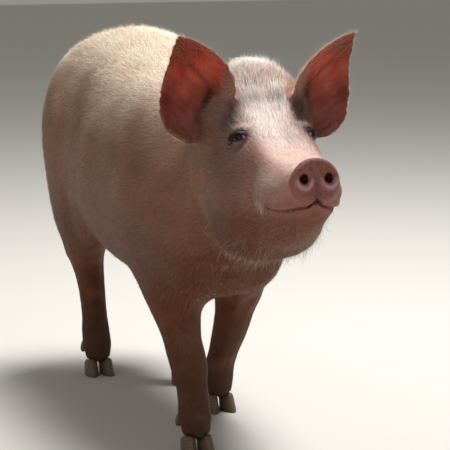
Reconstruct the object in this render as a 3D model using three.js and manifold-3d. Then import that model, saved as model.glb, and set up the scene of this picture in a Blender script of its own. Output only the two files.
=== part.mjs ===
// A young white pig walking with its head up, at life size.
// Millimetres, +Z up. The pig faces -Y and its left side is +X. It stands on Z = 0.
//
// Places are written as [forward, left, up]. The body is one smooth field, the blended union of a
// few muscle and bone masses, and every mesh of flesh is a skin of rings cast from an axis onto it.
// The whole animal is then parted into its named pieces with thin cuts.

import * as THREE from "three";
import { mergeVertices } from "three/addons/utils/BufferGeometryUtils.js";
import Module from "manifold-3d";

const wasm = await Module();
wasm.setup();

// ---------------------------------------------------------------- driving dimensions

const GAP = 0.36; // clearance between neighbouring pieces
const CUT = 0.4; // width of the cuts that part the body
const BODY_SIDES = 30; // corners of each ring of the body
const BODY_REACH = 260; // farthest that the body's skin may lie from its axis
const LEG_SIDES = 10;
const LEG_REACH = 140;
const FLARE = 44; // reach of the rounding where a leg leaves the trunk

// Trunk and neck: forward, top line, underline, half width, squareness of the section.
const TRUNK = [
  [-462, 570, 472, 30, 2.0],
  [-455, 594, 442, 66, 2.0],
  [-436, 630, 406, 103, 2.0],
  [-390, 670, 366, 138, 2.0],
  [-330, 698, 328, 152, 2.05],
  [-250, 711, 294, 158, 2.15],
  [-130, 708, 258, 164, 2.3],
  [-40, 691, 250, 166, 2.3],
  [30, 676, 251, 164, 2.3],
  [110, 662, 259, 158, 2.3],
  [200, 651, 272, 143, 2.3],
  [280, 653, 288, 124, 2.2],
  [340, 663, 318, 110, 2.2],
  [400, 683, 350, 102, 1.95],
  [470, 699, 378, 94, 1.8],
];

// Head: its own axes run back from the middle of the snout disc, left, and up.
const SNOUT = [746, 3, 533]; // middle of the disc
const HEAD_PITCH = 8; // degrees that the nose is raised
const HEAD_YAW = 1.5; // degrees that the nose turns left

// Skull and muzzle: back, top, bottom, half width, squareness.
const SKULL = [
  [17, 33, -35, 34, 2.3],
  [40, 34, -40, 37, 2.3],
  [70, 39, -46, 43, 2.3],
  [100, 48, -54, 49, 2.4],
  [125, 58, -62, 54, 2.4],
  [150, 74, -72, 60, 2.4],
  [180, 101, -86, 69, 2.4],
  [210, 136, -96, 78, 2.3],
  [240, 173, -105, 82, 2.0],
  [268, 196, -112, 84, 1.75],
  [300, 198, -116, 86, 1.75],
];

// Lower jaw and throat in the same axes.
const JAW = [
  [24, -34, -48, 18, 2.0],
  [32, -28, -66, 27, 2.1],
  [52, -25, -79, 34, 2.2],
  [75, -20, -89, 40, 2.2],
  [100, -20, -99, 46, 2.2],
  [135, -20, -107, 54, 2.2],
  [170, -20, -115, 62, 2.2],
  [205, -20, -122, 70, 2.2],
  [260, -20, -128, 76, 2.2],
];

const DISC = { halfWidth: 40, halfHeight: 36.5, left: 1.5, up: 3, depth: 15 };
const NOSTRIL = { left: 20.5, up: 4, radius: 7, depth: 12 };
const EYE = { back: 168, up: 75, radius: 12.5, proud: 3.5 };

// The line between the lips, then down behind the jaw: back, up.
const MOUTH = [
  [16.4, -37],
  [34, -39],
  [60, -41],
  [80, -39],
  [95, -34],
  [112, -46],
  [142, -84],
  [185, -160],
];

// The left ear's two edges from root to tip, in the head's axes: step, back, left, up.
const EAR_INNER_EDGE = [
  [0.0, 240, 56, 62],
  [0.25, 221, 54, 108],
  [0.5, 194, 46, 153],
  [0.72, 176, 70, 198],
  [0.86, 170, 109, 227],
  [1.0, 165, 161, 249],
];
const EAR_OUTER_EDGE = [
  [0.0, 238, 90, 70],
  [0.12, 241, 126, 72],
  [0.28, 247, 157, 93],
  [0.5, 246, 170, 132],
  [0.72, 229, 165, 181],
  [0.86, 203, 159, 214],
  [1.0, 165, 161, 249],
];
const EAR_CUP = [
  [0.0, 46],
  [0.3, 42],
  [0.6, 24],
  [0.85, 8],
  [1.0, 0],
];
const EAR_THICKNESS = [
  [0.0, 12],
  [0.3, 8],
  [0.7, 5.5],
  [1.0, 4],
];

// Each leg is a chain: forward, left, up, radius fore and aft, radius across.
const FORE_FORWARD = [
  [160, 62, 450, 54, 26],
  [178, 68, 370, 64, 32],
  [210, 76, 305, 56, 40],
  [244, 68, 250, 46, 43],
  [274, 69, 205, 35, 35],
  [290, 65, 172, 34, 37],
  [297, 59, 140, 31, 35],
  [304, 57, 105, 25, 28],
  [312, 57, 74, 28, 32],
  [325, 57, 50, 25, 30],
];
const FORE_BACK = [
  [160, 62, 450, 54, 26],
  [158, 74, 370, 64, 34],
  [150, 84, 305, 56, 40],
  [131, 90, 250, 45, 43],
  [114, 85, 205, 34, 38],
  [104, 82, 172, 34, 36],
  [84, 79, 140, 29, 32],
  [64, 77, 105, 26, 29],
  [50, 74, 74, 28, 32],
  [56, 73, 50, 25, 30],
];
const HIND_BACK = [
  [-300, 70, 470, 92, 40],
  [-302, 80, 400, 104, 53],
  [-312, 88, 330, 86, 52],
  [-327, 86, 278, 61, 42],
  [-339, 79, 235, 41, 33],
  [-337, 73, 195, 33, 30],
  [-327, 71, 150, 27, 28],
  [-318, 70, 112, 26, 28],
  [-310, 70, 78, 28, 32],
  [-298, 69, 50, 25, 30],
];
const HIND_FORWARD = [
  [-290, 70, 470, 92, 40],
  [-272, 80, 400, 106, 53],
  [-247, 88, 330, 88, 52],
  [-234, 86, 278, 62, 42],
  [-230, 82, 235, 42, 33],
  [-218, 81, 195, 33, 30],
  [-200, 80, 150, 27, 28],
  [-188, 79, 112, 26, 28],
  [-180, 78, 78, 28, 32],
  [-168, 77, 50, 25, 30],
];

// The point of the hock, a spur behind the joint that runs up into the thigh: offsets from the
// joint, then the two radii.
const HOCK_SPUR = [
  [-6, 1, -8, 20, 17],
  [-28, 3, 27, 15, 13],
  [-6, 8, 90, 26, 20],
];

// Cuts across the legs: height, and how far the cut rises outwards over each millimetre.
const FORE_CUTS = [
  [246, 0.4],
  [172, 0],
  [80, 0],
];
const HIND_CUTS = [
  [262, 0.4],
  [203, 0],
  [84, 0],
];

const CLAW = { length: 54, width: 29, front: 38, heel: 24, apart: 16.5, splay: 5, ahead: 12 };
const DEWCLAW = { length: 27, radius: 10, up: 64, apart: 17, behind: 15 };

const TAIL = {
  root: [-436, 0, 604],
  stem: 48,
  radius: 12,
  tipRadius: 5,
  coil: 27,
  turns: 1.2,
  drift: 34,
  parting: 0.36, // share of the way along at which the curl begins
};

// ---------------------------------------------------------------- frames and curves

const at = (forward, left, up) => new THREE.Vector3(left, -forward, up);
const plus = (a, b, k = 1) => [a[0] + k * b[0], a[1] + k * b[1], a[2] + k * b[2]];
const dot = (a, b) => a[0] * b[0] + a[1] * b[1] + a[2] * b[2];
const mirror = (side, p) => [p[0], side * p[1], ...p.slice(2)];

const turn = THREE.MathUtils.degToRad;
const headForward = [
  Math.cos(turn(HEAD_PITCH)) * Math.cos(turn(HEAD_YAW)),
  Math.cos(turn(HEAD_PITCH)) * Math.sin(turn(HEAD_YAW)),
  Math.sin(turn(HEAD_PITCH)),
];
const headLeft = [-Math.sin(turn(HEAD_YAW)), Math.cos(turn(HEAD_YAW)), 0];
const headUp = [
  headForward[1] * headLeft[2] - headForward[2] * headLeft[1],
  headForward[2] * headLeft[0] - headForward[0] * headLeft[2],
  headForward[0] * headLeft[1] - headForward[1] * headLeft[0],
];

// A place in the head's axes (back, left, up) as a place in the body's.
const onHead = (p) =>
  plus(plus(plus(SNOUT, headForward, -p[0]), headLeft, p[1]), headUp, p[2]);

// And the other way round.
function inHead(p) {
  const d = plus(p, SNOUT, -1);
  return [-dot(d, headForward), dot(d, headLeft), dot(d, headUp)];
}

// A smooth curve through pairs of [position, value], straight on beyond its ends.
function curve(pairs) {
  const slope = pairs.map((_, i) => {
    const a = pairs[Math.max(i - 1, 0)];
    const b = pairs[Math.min(i + 1, pairs.length - 1)];
    return (b[1] - a[1]) / (b[0] - a[0]);
  });
  return (x) => {
    let i = 0;
    while (i < pairs.length - 2 && x > pairs[i + 1][0]) i += 1;
    const [x0, y0] = pairs[i];
    const [x1, y1] = pairs[i + 1];
    const w = x1 - x0;
    const t = THREE.MathUtils.clamp((x - x0) / w, 0, 1);
    const s = t * t * (3 - 2 * t);
    const bend = t * (1 - t) * w * (slope[i] * (1 - t) - slope[i + 1] * t);
    return y0 + (y1 - y0) * s + bend;
  };
}

// ---------------------------------------------------------------- fields, negative inside

// A body swept along its first axis, its sections flattened ovals.
function swept(rows, toLocal) {
  const column = (k) => curve(rows.map((row) => [row[0], row[k]]));
  const [top, bottom, half, square] = [1, 2, 3, 4].map(column);
  const first = rows[0][0];
  const last = rows[rows.length - 1][0];
  return (p) => {
    const [x, y, z] = toLocal(p);
    const s = THREE.MathUtils.clamp(x, first, last);
    const middle = (top(s) + bottom(s)) / 2;
    const height = (top(s) - bottom(s)) / 2;
    const n = square(s);
    const dz = z - middle;
    const q = (Math.abs(y / half(s)) ** n + Math.abs(dz / height) ** n) ** (1 / n);
    const around = Math.hypot(y, dz) * (1 - 1 / Math.max(q, 1e-6));
    const beyond = Math.max(first - x, x - last);
    return beyond > 0 ? Math.max(around, 0) + beyond : Math.max(around, beyond);
  };
}

// An ellipsoid with its axes along those of its frame.
function ellipsoid(centre, radii, toLocal = (p) => p) {
  const least = Math.min(...radii);
  return (p) => {
    const q = toLocal(p);
    const x = (q[0] - centre[0]) / radii[0];
    const y = (q[1] - centre[1]) / radii[1];
    const z = (q[2] - centre[2]) / radii[2];
    return (Math.hypot(x, y, z) - 1) * least;
  };
}

// A chain of round lengths, each point with its radius fore and aft and across.
function chain(links) {
  return (p) => {
    let best = Infinity;
    for (let i = 0; i + 1 < links.length; i += 1) {
      const [a, b] = [links[i], links[i + 1]];
      const axis = plus(b, a, -1);
      const from = plus(p, a, -1);
      const t = THREE.MathUtils.clamp(dot(from, axis) / dot(axis, axis), 0, 1);
      const off = plus(from, axis, -t);
      const deep = a[3] + (b[3] - a[3]) * t;
      const wide = a[4] + (b[4] - a[4]) * t;
      const q = Math.hypot(off[0] / deep, off[1] / wide, (off[2] * 2) / (deep + wide));
      best = Math.min(best, (q - 1) * Math.min(deep, wide));
    }
    return best;
  };
}

// The smooth union of fields, rounded over the given reach.
function blend(reach, fields) {
  return (p) =>
    fields
      .map((field) => field(p))
      .reduce((a, b) => {
        const h = Math.max(reach - Math.abs(a - b), 0) / reach;
        return Math.min(a, b) - (h * h * reach) / 4;
      });
}

const pair = (make) => [make(-1), make(1)];
const leftRight = (side) => (side > 0 ? "left" : "right");

// ---------------------------------------------------------------- the animal's masses

const trunk = blend(60, [
  swept(TRUNK, (p) => p),
  ...pair((side) => ellipsoid([-342, side * 92, 452], [114, 66, 178])), // hams
  ...pair((side) => ellipsoid([195, side * 84, 430], [105, 52, 165])), // shoulders
  ...pair((side) => ellipsoid([292, side * 46, 345], [62, 52, 64])), // points of the breast
]);

const headMass = blend(34, [
  swept(SKULL, inHead),
  swept(JAW, inHead),
  ...pair((side) => ellipsoid([204, side * 46, -22], [68, 45, 78], inHead)), // jowls
  ...pair((side) => ellipsoid([202, side * 38, 68], [46, 26, 30], inHead)), // brows
  ...pair((side) => ellipsoid([150, side * 40, 22], [70, 22, 34], inHead)), // cheekbones
  ...pair((side) => ellipsoid([76, side * 32, -18], [50, 25, 25], inHead)), // lips
  ...pair((side) => ellipsoid([252, side * 50, 98], [46, 40, 60], inHead)), // ear roots
]);

const discMass = (p) => {
  const [back, left, up] = inHead(p);
  const q = Math.hypot((left - DISC.left) / DISC.halfWidth, (up - DISC.up) / DISC.halfHeight);
  const around = (q - 1) * DISC.halfHeight;
  const along = Math.abs(back - DISC.depth / 2) - DISC.depth / 2;
  const round = 4;
  const a = Math.max(around + round, 0);
  const b = Math.max(along + round, 0);
  return Math.hypot(a, b) + Math.min(Math.max(around, along) + round, 0) - round;
};

const body = blend(60, [trunk, headMass]);
const bodyWithDisc = blend(5, [body, discMass]);

// ---------------------------------------------------------------- skins and solids

// A closed mesh as a manifold solid, its faces turned outwards.
function solid(geometry) {
  const bare = geometry.clone();
  for (const name of Object.keys(bare.attributes)) {
    if (name !== "position") bare.deleteAttribute(name);
  }
  const merged = mergeVertices(bare, 1e-3);
  const index = merged.index.array;
  const faces = [];
  for (let i = 0; i < index.length; i += 3) {
    const [a, b, c] = [index[i], index[i + 1], index[i + 2]];
    if (a !== b && b !== c && c !== a) faces.push(a, b, c);
  }
  const mesh = (triVerts) =>
    new wasm.Manifold(
      new wasm.Mesh({
        numProp: 3,
        vertProperties: new Float32Array(merged.attributes.position.array),
        triVerts: new Uint32Array(triVerts),
      }),
    );
  const made = mesh(faces);
  return made.volume() < 0 ? mesh(faces.reverse()) : made;
}

// A grid wrapped round into a closed solid: place(around, along) gives the spot, both 0 to 1.
function wrap(place, sides, rings) {
  const sheet = new THREE.PlaneGeometry(1, 1, sides, rings);
  const spots = sheet.getAttribute("position");
  const uv = sheet.getAttribute("uv");
  for (let i = 0; i < spots.count; i += 1) {
    const around = Math.round(uv.getX(i) * sides) % sides;
    const along = Math.round(uv.getY(i) * rings);
    const spot = at(...place(around / sides, along));
    spots.setXYZ(i, spot.x, spot.y, spot.z);
  }
  return solid(sheet);
}

// How far a ray runs inside a field before it comes out.
function depthAlong(field, from, way, reach) {
  const step = 5;
  let far = step;
  while (far < reach && field(plus(from, way, far)) < 0) far += step;
  if (far >= reach) return reach;
  let near = far - step;
  for (let i = 0; i < 16; i += 1) {
    const middle = (near + far) / 2;
    if (field(plus(from, way, middle)) < 0) near = middle;
    else far = middle;
  }
  return far;
}

// A skin of rings over a field. Each station has a centre and the two directions of its ring.
function skin(field, stations, sides, reach, swell = 0) {
  const grown = (p) => field(p) - swell;
  const last = stations.length - 1;
  return wrap(
    (around, ring) => {
      const { centre, across, rise } = stations[ring];
      if (ring === 0 || ring === last) return centre;
      const angle = 2 * Math.PI * around;
      const way = plus(across.map((v) => v * Math.cos(angle)), rise, Math.sin(angle));
      return plus(centre, way, depthAlong(grown, centre, way, reach));
    },
    sides,
    last,
  );
}

// Evenly spaced numbers from first to last.
const spaced = (first, last, count) =>
  Array.from({ length: count }, (_, i) => first + ((last - first) * i) / (count - 1));

// ---------------------------------------------------------------- trunk, neck and head in one

const axisHeight = curve([
  [-455, 515],
  [-300, 500],
  [0, 490],
  [250, 480],
  [430, 505],
  [520, 512],
]);

const spine = [
  ...[0, 0.6, 4, 12].map((d) => -464 + d),
  ...spaced(-440, 500, 24),
].map((f) => ({
  centre: [f, 0, axisHeight(f)],
  across: [0, 1, 0],
  rise: [-Math.sin(turn(HEAD_PITCH)) * THREE.MathUtils.smoothstep(f, 330, 480), 0, 1],
}));

const face = [...spaced(238, 34, 15), 29, 24.5, 21, 18, 13, 3, 0.8, 0].map((back) => ({
  centre: onHead([back, 0, back > 100 ? 0 : -1]),
  across: headLeft,
  rise: headUp,
}));

const wholeBody = skin(bodyWithDisc, [...spine, ...face], BODY_SIDES, BODY_REACH);

// ---------------------------------------------------------------- legs and feet

const legs = {
  foreleg_right: { side: -1, links: FORE_FORWARD, cuts: FORE_CUTS, spur: [] },
  foreleg_left: { side: 1, links: FORE_BACK, cuts: FORE_CUTS, spur: [] },
  hindleg_right: { side: -1, links: HIND_BACK, cuts: HIND_CUTS, spur: HOCK_SPUR },
  hindleg_left: { side: 1, links: HIND_FORWARD, cuts: HIND_CUTS, spur: HOCK_SPUR },
};

// The leg's own mass, and its skin. The top end stays inside the trunk.
const legBone = ({ side, links, spur }) => {
  const own = (row) => mirror(side, row);
  const heel = links[4];
  const behind = spur.map((row) => [...plus(heel, row), row[3], row[4]]);
  const shaft = chain(links.map(own));
  return spur.length ? blend(14, [shaft, chain(behind.map(own))]) : shaft;
};

function legLine({ side, links }) {
  const upwards = [...links].reverse();
  const forwardAt = curve(upwards.map((p) => [p[2], p[0]]));
  const leftAt = curve(upwards.map((p) => [p[2], p[1]]));
  return (u) => [forwardAt(u), side * leftAt(u), u];
}

function legSkin(leg) {
  const spot = legLine(leg);
  const top = leg.links[0][2];
  const heights = [top + 26, ...spaced(top, 250, 5), ...spaced(228, 34, 8), 27, 24];
  const stations = heights.map((u) => ({ centre: spot(u), across: [0, 1, 0], rise: [1, 0, 0] }));
  return skin(legBone(leg), stations, LEG_SIDES, LEG_REACH);
}

// Moves the joined skins' corners out to a field that is rounded where a leg meets the trunk.
function settle(made, field, near) {
  const raw = made.getMesh();
  const spots = raw.vertProperties;
  const step = 0.5;
  for (let i = 0; i < spots.length; i += 3) {
    let p = [-spots[i + 1], spots[i], spots[i + 2]];
    if (near(p)) {
      for (let round = 0; round < 4; round += 1) {
        const value = field(p);
        const slope = [0, 1, 2].map((k) => {
          const q = [...p];
          q[k] += step;
          return (field(q) - value) / step;
        });
        p = plus(p, slope, -value / Math.max(dot(slope, slope), 0.2));
      }
      spots.set([p[1], -p[0], p[2]], i);
    }
  }
  return new wasm.Manifold(
    new wasm.Mesh({ numProp: 3, vertProperties: spots, triVerts: raw.triVerts }),
  );
}

// One claw. Its sole lies flat on the ground, its wall leans back up to the slanting coronet.
function claw(foot, side, grow = 0) {
  const half = CLAW.length / 2;
  const angle = turn(CLAW.splay) * side;
  const levels = [
    [0, 0],
    [0.93, 0],
    [1, 0.06],
    [1, 0.5],
    [1, 1],
    [0, 1],
  ];
  return wrap(
    (around, ring) => {
      const [size, rise] = levels[ring];
      const theta = 2 * Math.PI * around;
      const ahead = Math.cos(theta);
      const narrow = 1 - 0.22 * ahead - 0.1 * rise;
      const x = size * ahead * (half * (1 - 0.18 * rise) + grow);
      const y = size * Math.sin(theta) * ((CLAW.width / 2) * narrow + grow);
      const slant = CLAW.heel + ((CLAW.front - CLAW.heel) * (x + half)) / CLAW.length;
      const z = rise > 0 ? rise * slant + (rise === 1 ? grow : 0) : -grow;
      const back = x - 0.42 * slant * rise;
      return [
        foot[0] + CLAW.ahead + back * Math.cos(angle) - y * Math.sin(angle),
        foot[1] + side * CLAW.apart + back * Math.sin(angle) + y * Math.cos(angle),
        z,
      ];
    },
    10,
    levels.length - 1,
  );
}

// One dewclaw, a blunt cone that hangs behind the fetlock.
function dewclaw(foot, side, grow = 0) {
  const levels = [
    [0, 0],
    [1, 0.02],
    [1.02, 0.4],
    [0.8, 0.8],
    [0.45, 1],
    [0, 1.04],
  ];
  return wrap(
    (around, ring) => {
      const [size, along] = levels[ring];
      const theta = 2 * Math.PI * around;
      const radius = size > 0 ? size * DEWCLAW.radius + grow : 0;
      const run = along * DEWCLAW.length + (along > 0.5 ? grow : -grow);
      return [
        foot[0] - DEWCLAW.behind - run * 0.5 + radius * Math.cos(theta) * 0.87,
        foot[1] + side * (DEWCLAW.apart + run * 0.15) + radius * Math.sin(theta),
        DEWCLAW.up - run * 0.87 - radius * Math.cos(theta) * 0.5,
      ];
    },
    6,
    levels.length - 1,
  );
}

// ---------------------------------------------------------------- ears, eyes, tail

function ear(side) {
  const along = (rows, k) => curve(rows.map((row) => [row[0], row[k]]));
  const inner = [1, 2, 3].map((k) => along(EAR_INNER_EDGE, k));
  const outer = [1, 2, 3].map((k) => along(EAR_OUTER_EDGE, k));
  const cup = curve(EAR_CUP);
  const thickness = curve(EAR_THICKNESS);
  const rings = 10;
  const sides = 14;
  return wrap(
    (around, ring) => {
      const t = Math.min(ring / rings, 0.985);
      const theta = 2 * Math.PI * around;
      const v = ring === rings || ring === 0 ? 0 : -Math.cos(theta);
      const face = ring === rings || ring === 0 ? 0 : Math.sin(theta);
      const spot = inner.map((edge, k) => (edge(t) * (1 - v) + outer[k](t) * (1 + v)) / 2);
      const back = cup(t) * (1 - v * v) + (face * thickness(t)) / 2;
      return onHead([spot[0] + back, side * spot[1], spot[2]]);
    },
    sides,
    rings,
  );
}

function ball(centre, radius) {
  const sphere = new THREE.SphereGeometry(radius, 10, 8);
  const spot = at(...centre);
  return solid(sphere.translate(spot.x, spot.y, spot.z));
}

// The eyeball stands proud of the side of the brow by a set amount.
function eyeCentre(side) {
  const axis = onHead([EYE.back, 0, EYE.up]);
  const way = headLeft.map((v) => v * side);
  const surface = depthAlong(headMass, axis, way, 120);
  return plus(axis, way, surface + EYE.proud - EYE.radius);
}

// A nostril, a smooth pit in the disc.
function nostril(side) {
  const { left, up, radius, depth } = NOSTRIL;
  const pit = new THREE.SphereGeometry(1, 10, 6).scale(radius, radius * 0.85, depth);
  const basis = new THREE.Matrix4().makeBasis(at(...headLeft), at(...headUp), at(...headForward));
  const mouth = onHead([0, DISC.left + side * left, DISC.up + up]);
  return solid(pit.applyMatrix4(basis.setPosition(at(...mouth))));
}

// The tail: straight out of the rump, then round in one curl that drifts backwards.
function tailSpot(t) {
  const [f, l, u] = TAIL.root;
  const straight = Math.min(t / 0.25, 1);
  const curl = Math.max(t - 0.25, 0) / 0.75;
  const angle = 2 * Math.PI * TAIL.turns * curl;
  return [
    f - TAIL.stem * straight - TAIL.drift * curl,
    l + TAIL.coil * Math.sin(angle),
    u - 5 * straight - TAIL.coil * (1 - Math.cos(angle)),
  ];
}

function tailLength(start, end, rings) {
  return wrap(
    (around, ring) => {
      const share = THREE.MathUtils.clamp((ring - 1) / (rings - 2), 0, 1);
      const t = start + (end - start) * share;
      const here = tailSpot(t);
      if (ring === 0 || ring === rings) return here;
      const way = plus(tailSpot(t + 0.01), tailSpot(Math.max(t - 0.01, 0)), -1);
      const tangent = at(...way).normalize();
      const aside = new THREE.Vector3(0, 0, 1).cross(tangent).normalize();
      const over = tangent.clone().cross(aside);
      const radius = TAIL.radius + (TAIL.tipRadius - TAIL.radius) * t;
      const theta = 2 * Math.PI * around;
      const off = aside.multiplyScalar(Math.cos(theta)).addScaledVector(over, Math.sin(theta));
      return plus(here, [-off.y, off.x, off.z], radius);
    },
    7,
    rings,
  );
}

// ---------------------------------------------------------------- joining and parting

// A thin sheet for a cut, square to a direction, its width running along another.
function sheet(centre, normal, along, width, height) {
  const z = at(...normal).normalize();
  const x = at(...along).projectOnPlane(z).normalize();
  const y = z.clone().cross(x);
  const place = new THREE.Matrix4().makeBasis(x, y, z).setPosition(at(...centre));
  return solid(new THREE.BoxGeometry(width, height, CUT).applyMatrix4(place));
}

// The cut between the lips, as a thin curved band right across the head.
function mouthCut() {
  const outline = new THREE.Shape();
  const upper = MOUTH.map(([back, up]) => new THREE.Vector2(back, up + CUT / 2));
  const lower = MOUTH.map(([back, up]) => new THREE.Vector2(back - CUT / 2, up - CUT / 2));
  outline.setFromPoints([...upper, ...lower.reverse()]);
  const band = new THREE.ExtrudeGeometry(outline, { depth: 300, bevelEnabled: false });
  const spots = band.getAttribute("position");
  for (let i = 0; i < spots.count; i += 1) {
    const spot = at(...onHead([spots.getX(i), spots.getZ(i) - 150, spots.getY(i)]));
    spots.setXYZ(i, spot.x, spot.y, spot.z);
  }
  return solid(band);
}

const bones = Object.values(legs).map(legBone);
const withLegs = (p) => bones.reduce((whole, bone) => blend(FLARE, [() => whole, bone])(p), trunk(p));
const atLegTop = (p) => {
  const nearest = Math.min(...bones.map((bone) => bone(p)));
  return nearest < FLARE && Math.abs(trunk(p)) < FLARE;
};
const joined = Object.values(legs).reduce((whole, leg) => whole.add(legSkin(leg)), wholeBody);
let flesh = settle(joined, withLegs, atLegTop);

const probes = {
  trunk: [0, 0, 480],
  neck: [400, 0, 520],
  head: onHead([150, 0, 10]),
  jaw: onHead([70, 0, -70]),
  snout: onHead([8, 0, -20]),
};
const solids = {};

for (const side of [-1, 1]) {
  flesh = flesh.subtract(nostril(side));
}

// The head's and the muzzle's cuts.
const onFace = (back, up) => onHead([back, 0, up]);
const across = [0, 1, 0];
flesh = flesh.subtract(sheet(onFace(DISC.depth + 1.5, 0), headForward, across, 120, 120));
flesh = flesh.subtract(mouthCut());
const nape = plus(onFace(290, 190), onFace(244, -130), -1);
flesh = flesh.subtract(sheet(onFace(267, 30), [nape[2], 0, -nape[0]], across, 600, 600));
flesh = flesh.subtract(sheet([312, 0, 490], [0.955, 0, 0.3], across, 600, 600));

for (const [name, leg] of Object.entries(legs)) {
  const { side, cuts } = leg;
  const spot = legLine(leg);
  cuts.forEach(([u, rise], i) => {
    const [wide, deep] = i === 0 ? [200, 150] : [120, 100];
    flesh = flesh.subtract(sheet(spot(u), [0, -side * rise, 1], [1, 0, 0], wide, deep));
  });
  const names = name.startsWith("fore") ? ["forearm", "cannon", "foot"] : ["hock", "cannon", "foot"];
  const levels = [...cuts.map(([u]) => u), 40];
  names.forEach((part, i) => {
    probes[`${name}_${part}`] = spot((levels[i] + levels[i + 1]) / 2);
  });
  const foot = spot(50);
  for (const way of [-1, 1]) {
    const inward = way === -side ? "inner" : "outer";
    solids[`${name}_claw_${inward}`] = claw(foot, way);
    flesh = flesh.subtract(claw(foot, way, GAP));
    const heel = spot(74);
    solids[`${name}_dewclaw_${inward}`] = dewclaw(heel, way);
    flesh = flesh.subtract(dewclaw(heel, way, GAP));
  }
}

for (const side of [-1, 1]) {
  solids[`eye_${leftRight(side)}`] = ball(eyeCentre(side), EYE.radius);
  flesh = flesh.subtract(ball(eyeCentre(side), EYE.radius + GAP));
}

const grownHead = skin(bodyWithDisc, [...spine.slice(-8), ...face], BODY_SIDES, BODY_REACH, GAP);
for (const side of [-1, 1]) {
  const whole = ear(side).subtract(grownHead).decompose();
  whole.sort((a, b) => b.volume() - a.volume());
  solids[`ear_${leftRight(side)}`] = whole[0];
}

const grownRump = skin(bodyWithDisc, spine.slice(0, 12), BODY_SIDES, BODY_REACH, GAP);
const stem = tailLength(0, TAIL.parting, 8).subtract(grownRump).decompose();
stem.sort((a, b) => b.volume() - a.volume());
solids.tail_stem = stem[0];
solids.tail_curl = tailLength(TAIL.parting + 0.005, 1, 13);

for (const piece of flesh.decompose()) {
  const inside = ([, spot]) => piece.intersect(ball(spot, 2)).volume() > 1;
  const found = Object.entries(probes).filter(inside);
  if (found.length !== 1) throw new Error(`a piece of ${piece.volume()} mm3 has no one name`);
  solids[found[0][0]] = piece;
}

// ---------------------------------------------------------------- group

const finish = (color, roughness) => new THREE.MeshStandardMaterial({ color, roughness });
const SKIN = finish(0xd9a58c, 0.6);
const LOWER_LEG = finish(0xa77a64, 0.65);
const EAR_SKIN = finish(0xc98069, 0.55);
const SNOUT_SKIN = finish(0xc6908a, 0.4);
const HORN = finish(0x6a5646, 0.5);
const EYEBALL = finish(0x2b1a12, 0.12);

function materialOf(name) {
  if (name.includes("claw")) return HORN;
  if (name.startsWith("eye")) return EYEBALL;
  if (name.startsWith("ear")) return EAR_SKIN;
  if (name === "snout") return SNOUT_SKIN;
  if (name.endsWith("cannon") || name.endsWith("foot")) return LOWER_LEG;
  return SKIN;
}

const group = new THREE.Group();
for (const [name, made] of Object.entries(solids)) {
  const raw = made.getMesh();
  const geometry = new THREE.BufferGeometry();
  geometry.setAttribute("position", new THREE.BufferAttribute(raw.vertProperties, 3));
  geometry.setIndex(new THREE.BufferAttribute(raw.triVerts, 1));
  geometry.computeVertexNormals();
  const mesh = new THREE.Mesh(geometry, materialOf(name));
  mesh.name = name;
  group.add(mesh);
}

const box = new THREE.Box3().setFromObject(group);
group.position.set(-(box.min.x + box.max.x) / 2, -(box.min.y + box.max.y) / 2, -box.min.z);

export default group;
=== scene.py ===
"""A young white pig in mid stride, life size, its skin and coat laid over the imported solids.

Metres, +Z up. The pig faces -Y, its left side is +X, and its soles stand on Z = 0.
"""

import logging
import math
from dataclasses import dataclass, field
from enum import Enum

import bmesh
import bpy
import numpy as np
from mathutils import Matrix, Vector
from mathutils.bvhtree import BVHTree

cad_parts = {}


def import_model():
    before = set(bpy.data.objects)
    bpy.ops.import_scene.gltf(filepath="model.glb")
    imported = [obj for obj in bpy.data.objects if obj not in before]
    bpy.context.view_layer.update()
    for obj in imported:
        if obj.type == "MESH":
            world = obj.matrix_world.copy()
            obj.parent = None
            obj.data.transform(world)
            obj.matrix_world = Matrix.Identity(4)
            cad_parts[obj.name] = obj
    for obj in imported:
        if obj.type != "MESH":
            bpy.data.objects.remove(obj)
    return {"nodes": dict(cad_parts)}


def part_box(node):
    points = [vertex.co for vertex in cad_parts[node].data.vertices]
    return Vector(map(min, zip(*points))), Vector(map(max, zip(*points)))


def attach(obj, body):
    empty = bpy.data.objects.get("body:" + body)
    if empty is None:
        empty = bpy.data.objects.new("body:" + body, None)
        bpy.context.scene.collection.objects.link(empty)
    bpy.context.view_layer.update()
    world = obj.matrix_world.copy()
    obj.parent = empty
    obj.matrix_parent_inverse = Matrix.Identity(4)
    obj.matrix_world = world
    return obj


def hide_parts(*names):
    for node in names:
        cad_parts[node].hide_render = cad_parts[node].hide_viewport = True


log = logging.getLogger("pig")

MM = 0.001
BODY = "root"
EYES = ("eye_left", "eye_right")
EARS = ("ear_left", "ear_right")
LEGS = ("foreleg_right", "foreleg_left", "hindleg_right", "hindleg_left")
NOT_FLESH = ("claw", "eye_")  # words in the names of nodes that the skin doesn't cover
SAME_PLACE = 1e-5  # metres within which two corners of a solid are one
GIRTH_MIDDLE = 480  # mm above the floor of the line that the trunk is wound round
Array = np.ndarray


class Slot(Enum):
    """Named material slots: skin, eye and horn."""

    SKIN = "skin"
    EYE = "eye"
    HORN = "horn"


# ---------------------------------------------------------------- small helpers


def linear(hex_colour: str) -> Array:
    """Turns an sRGB hex colour into linear red, green and blue.

    Args:
        hex_colour: The colour as "#rrggbb".

    Returns:
        Three linear values from 0 to 1.
    """
    srgb = np.array([int(hex_colour[i : i + 2], 16) / 255 for i in (1, 3, 5)])
    return np.where(srgb <= 0.04045, srgb / 12.92, ((srgb + 0.055) / 1.055) ** 2.4)


def rgba(hex_colour: str) -> tuple[float, ...]:
    """The same colour with full opacity, as a node socket takes it."""
    return (*linear(hex_colour), 1.0)


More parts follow.
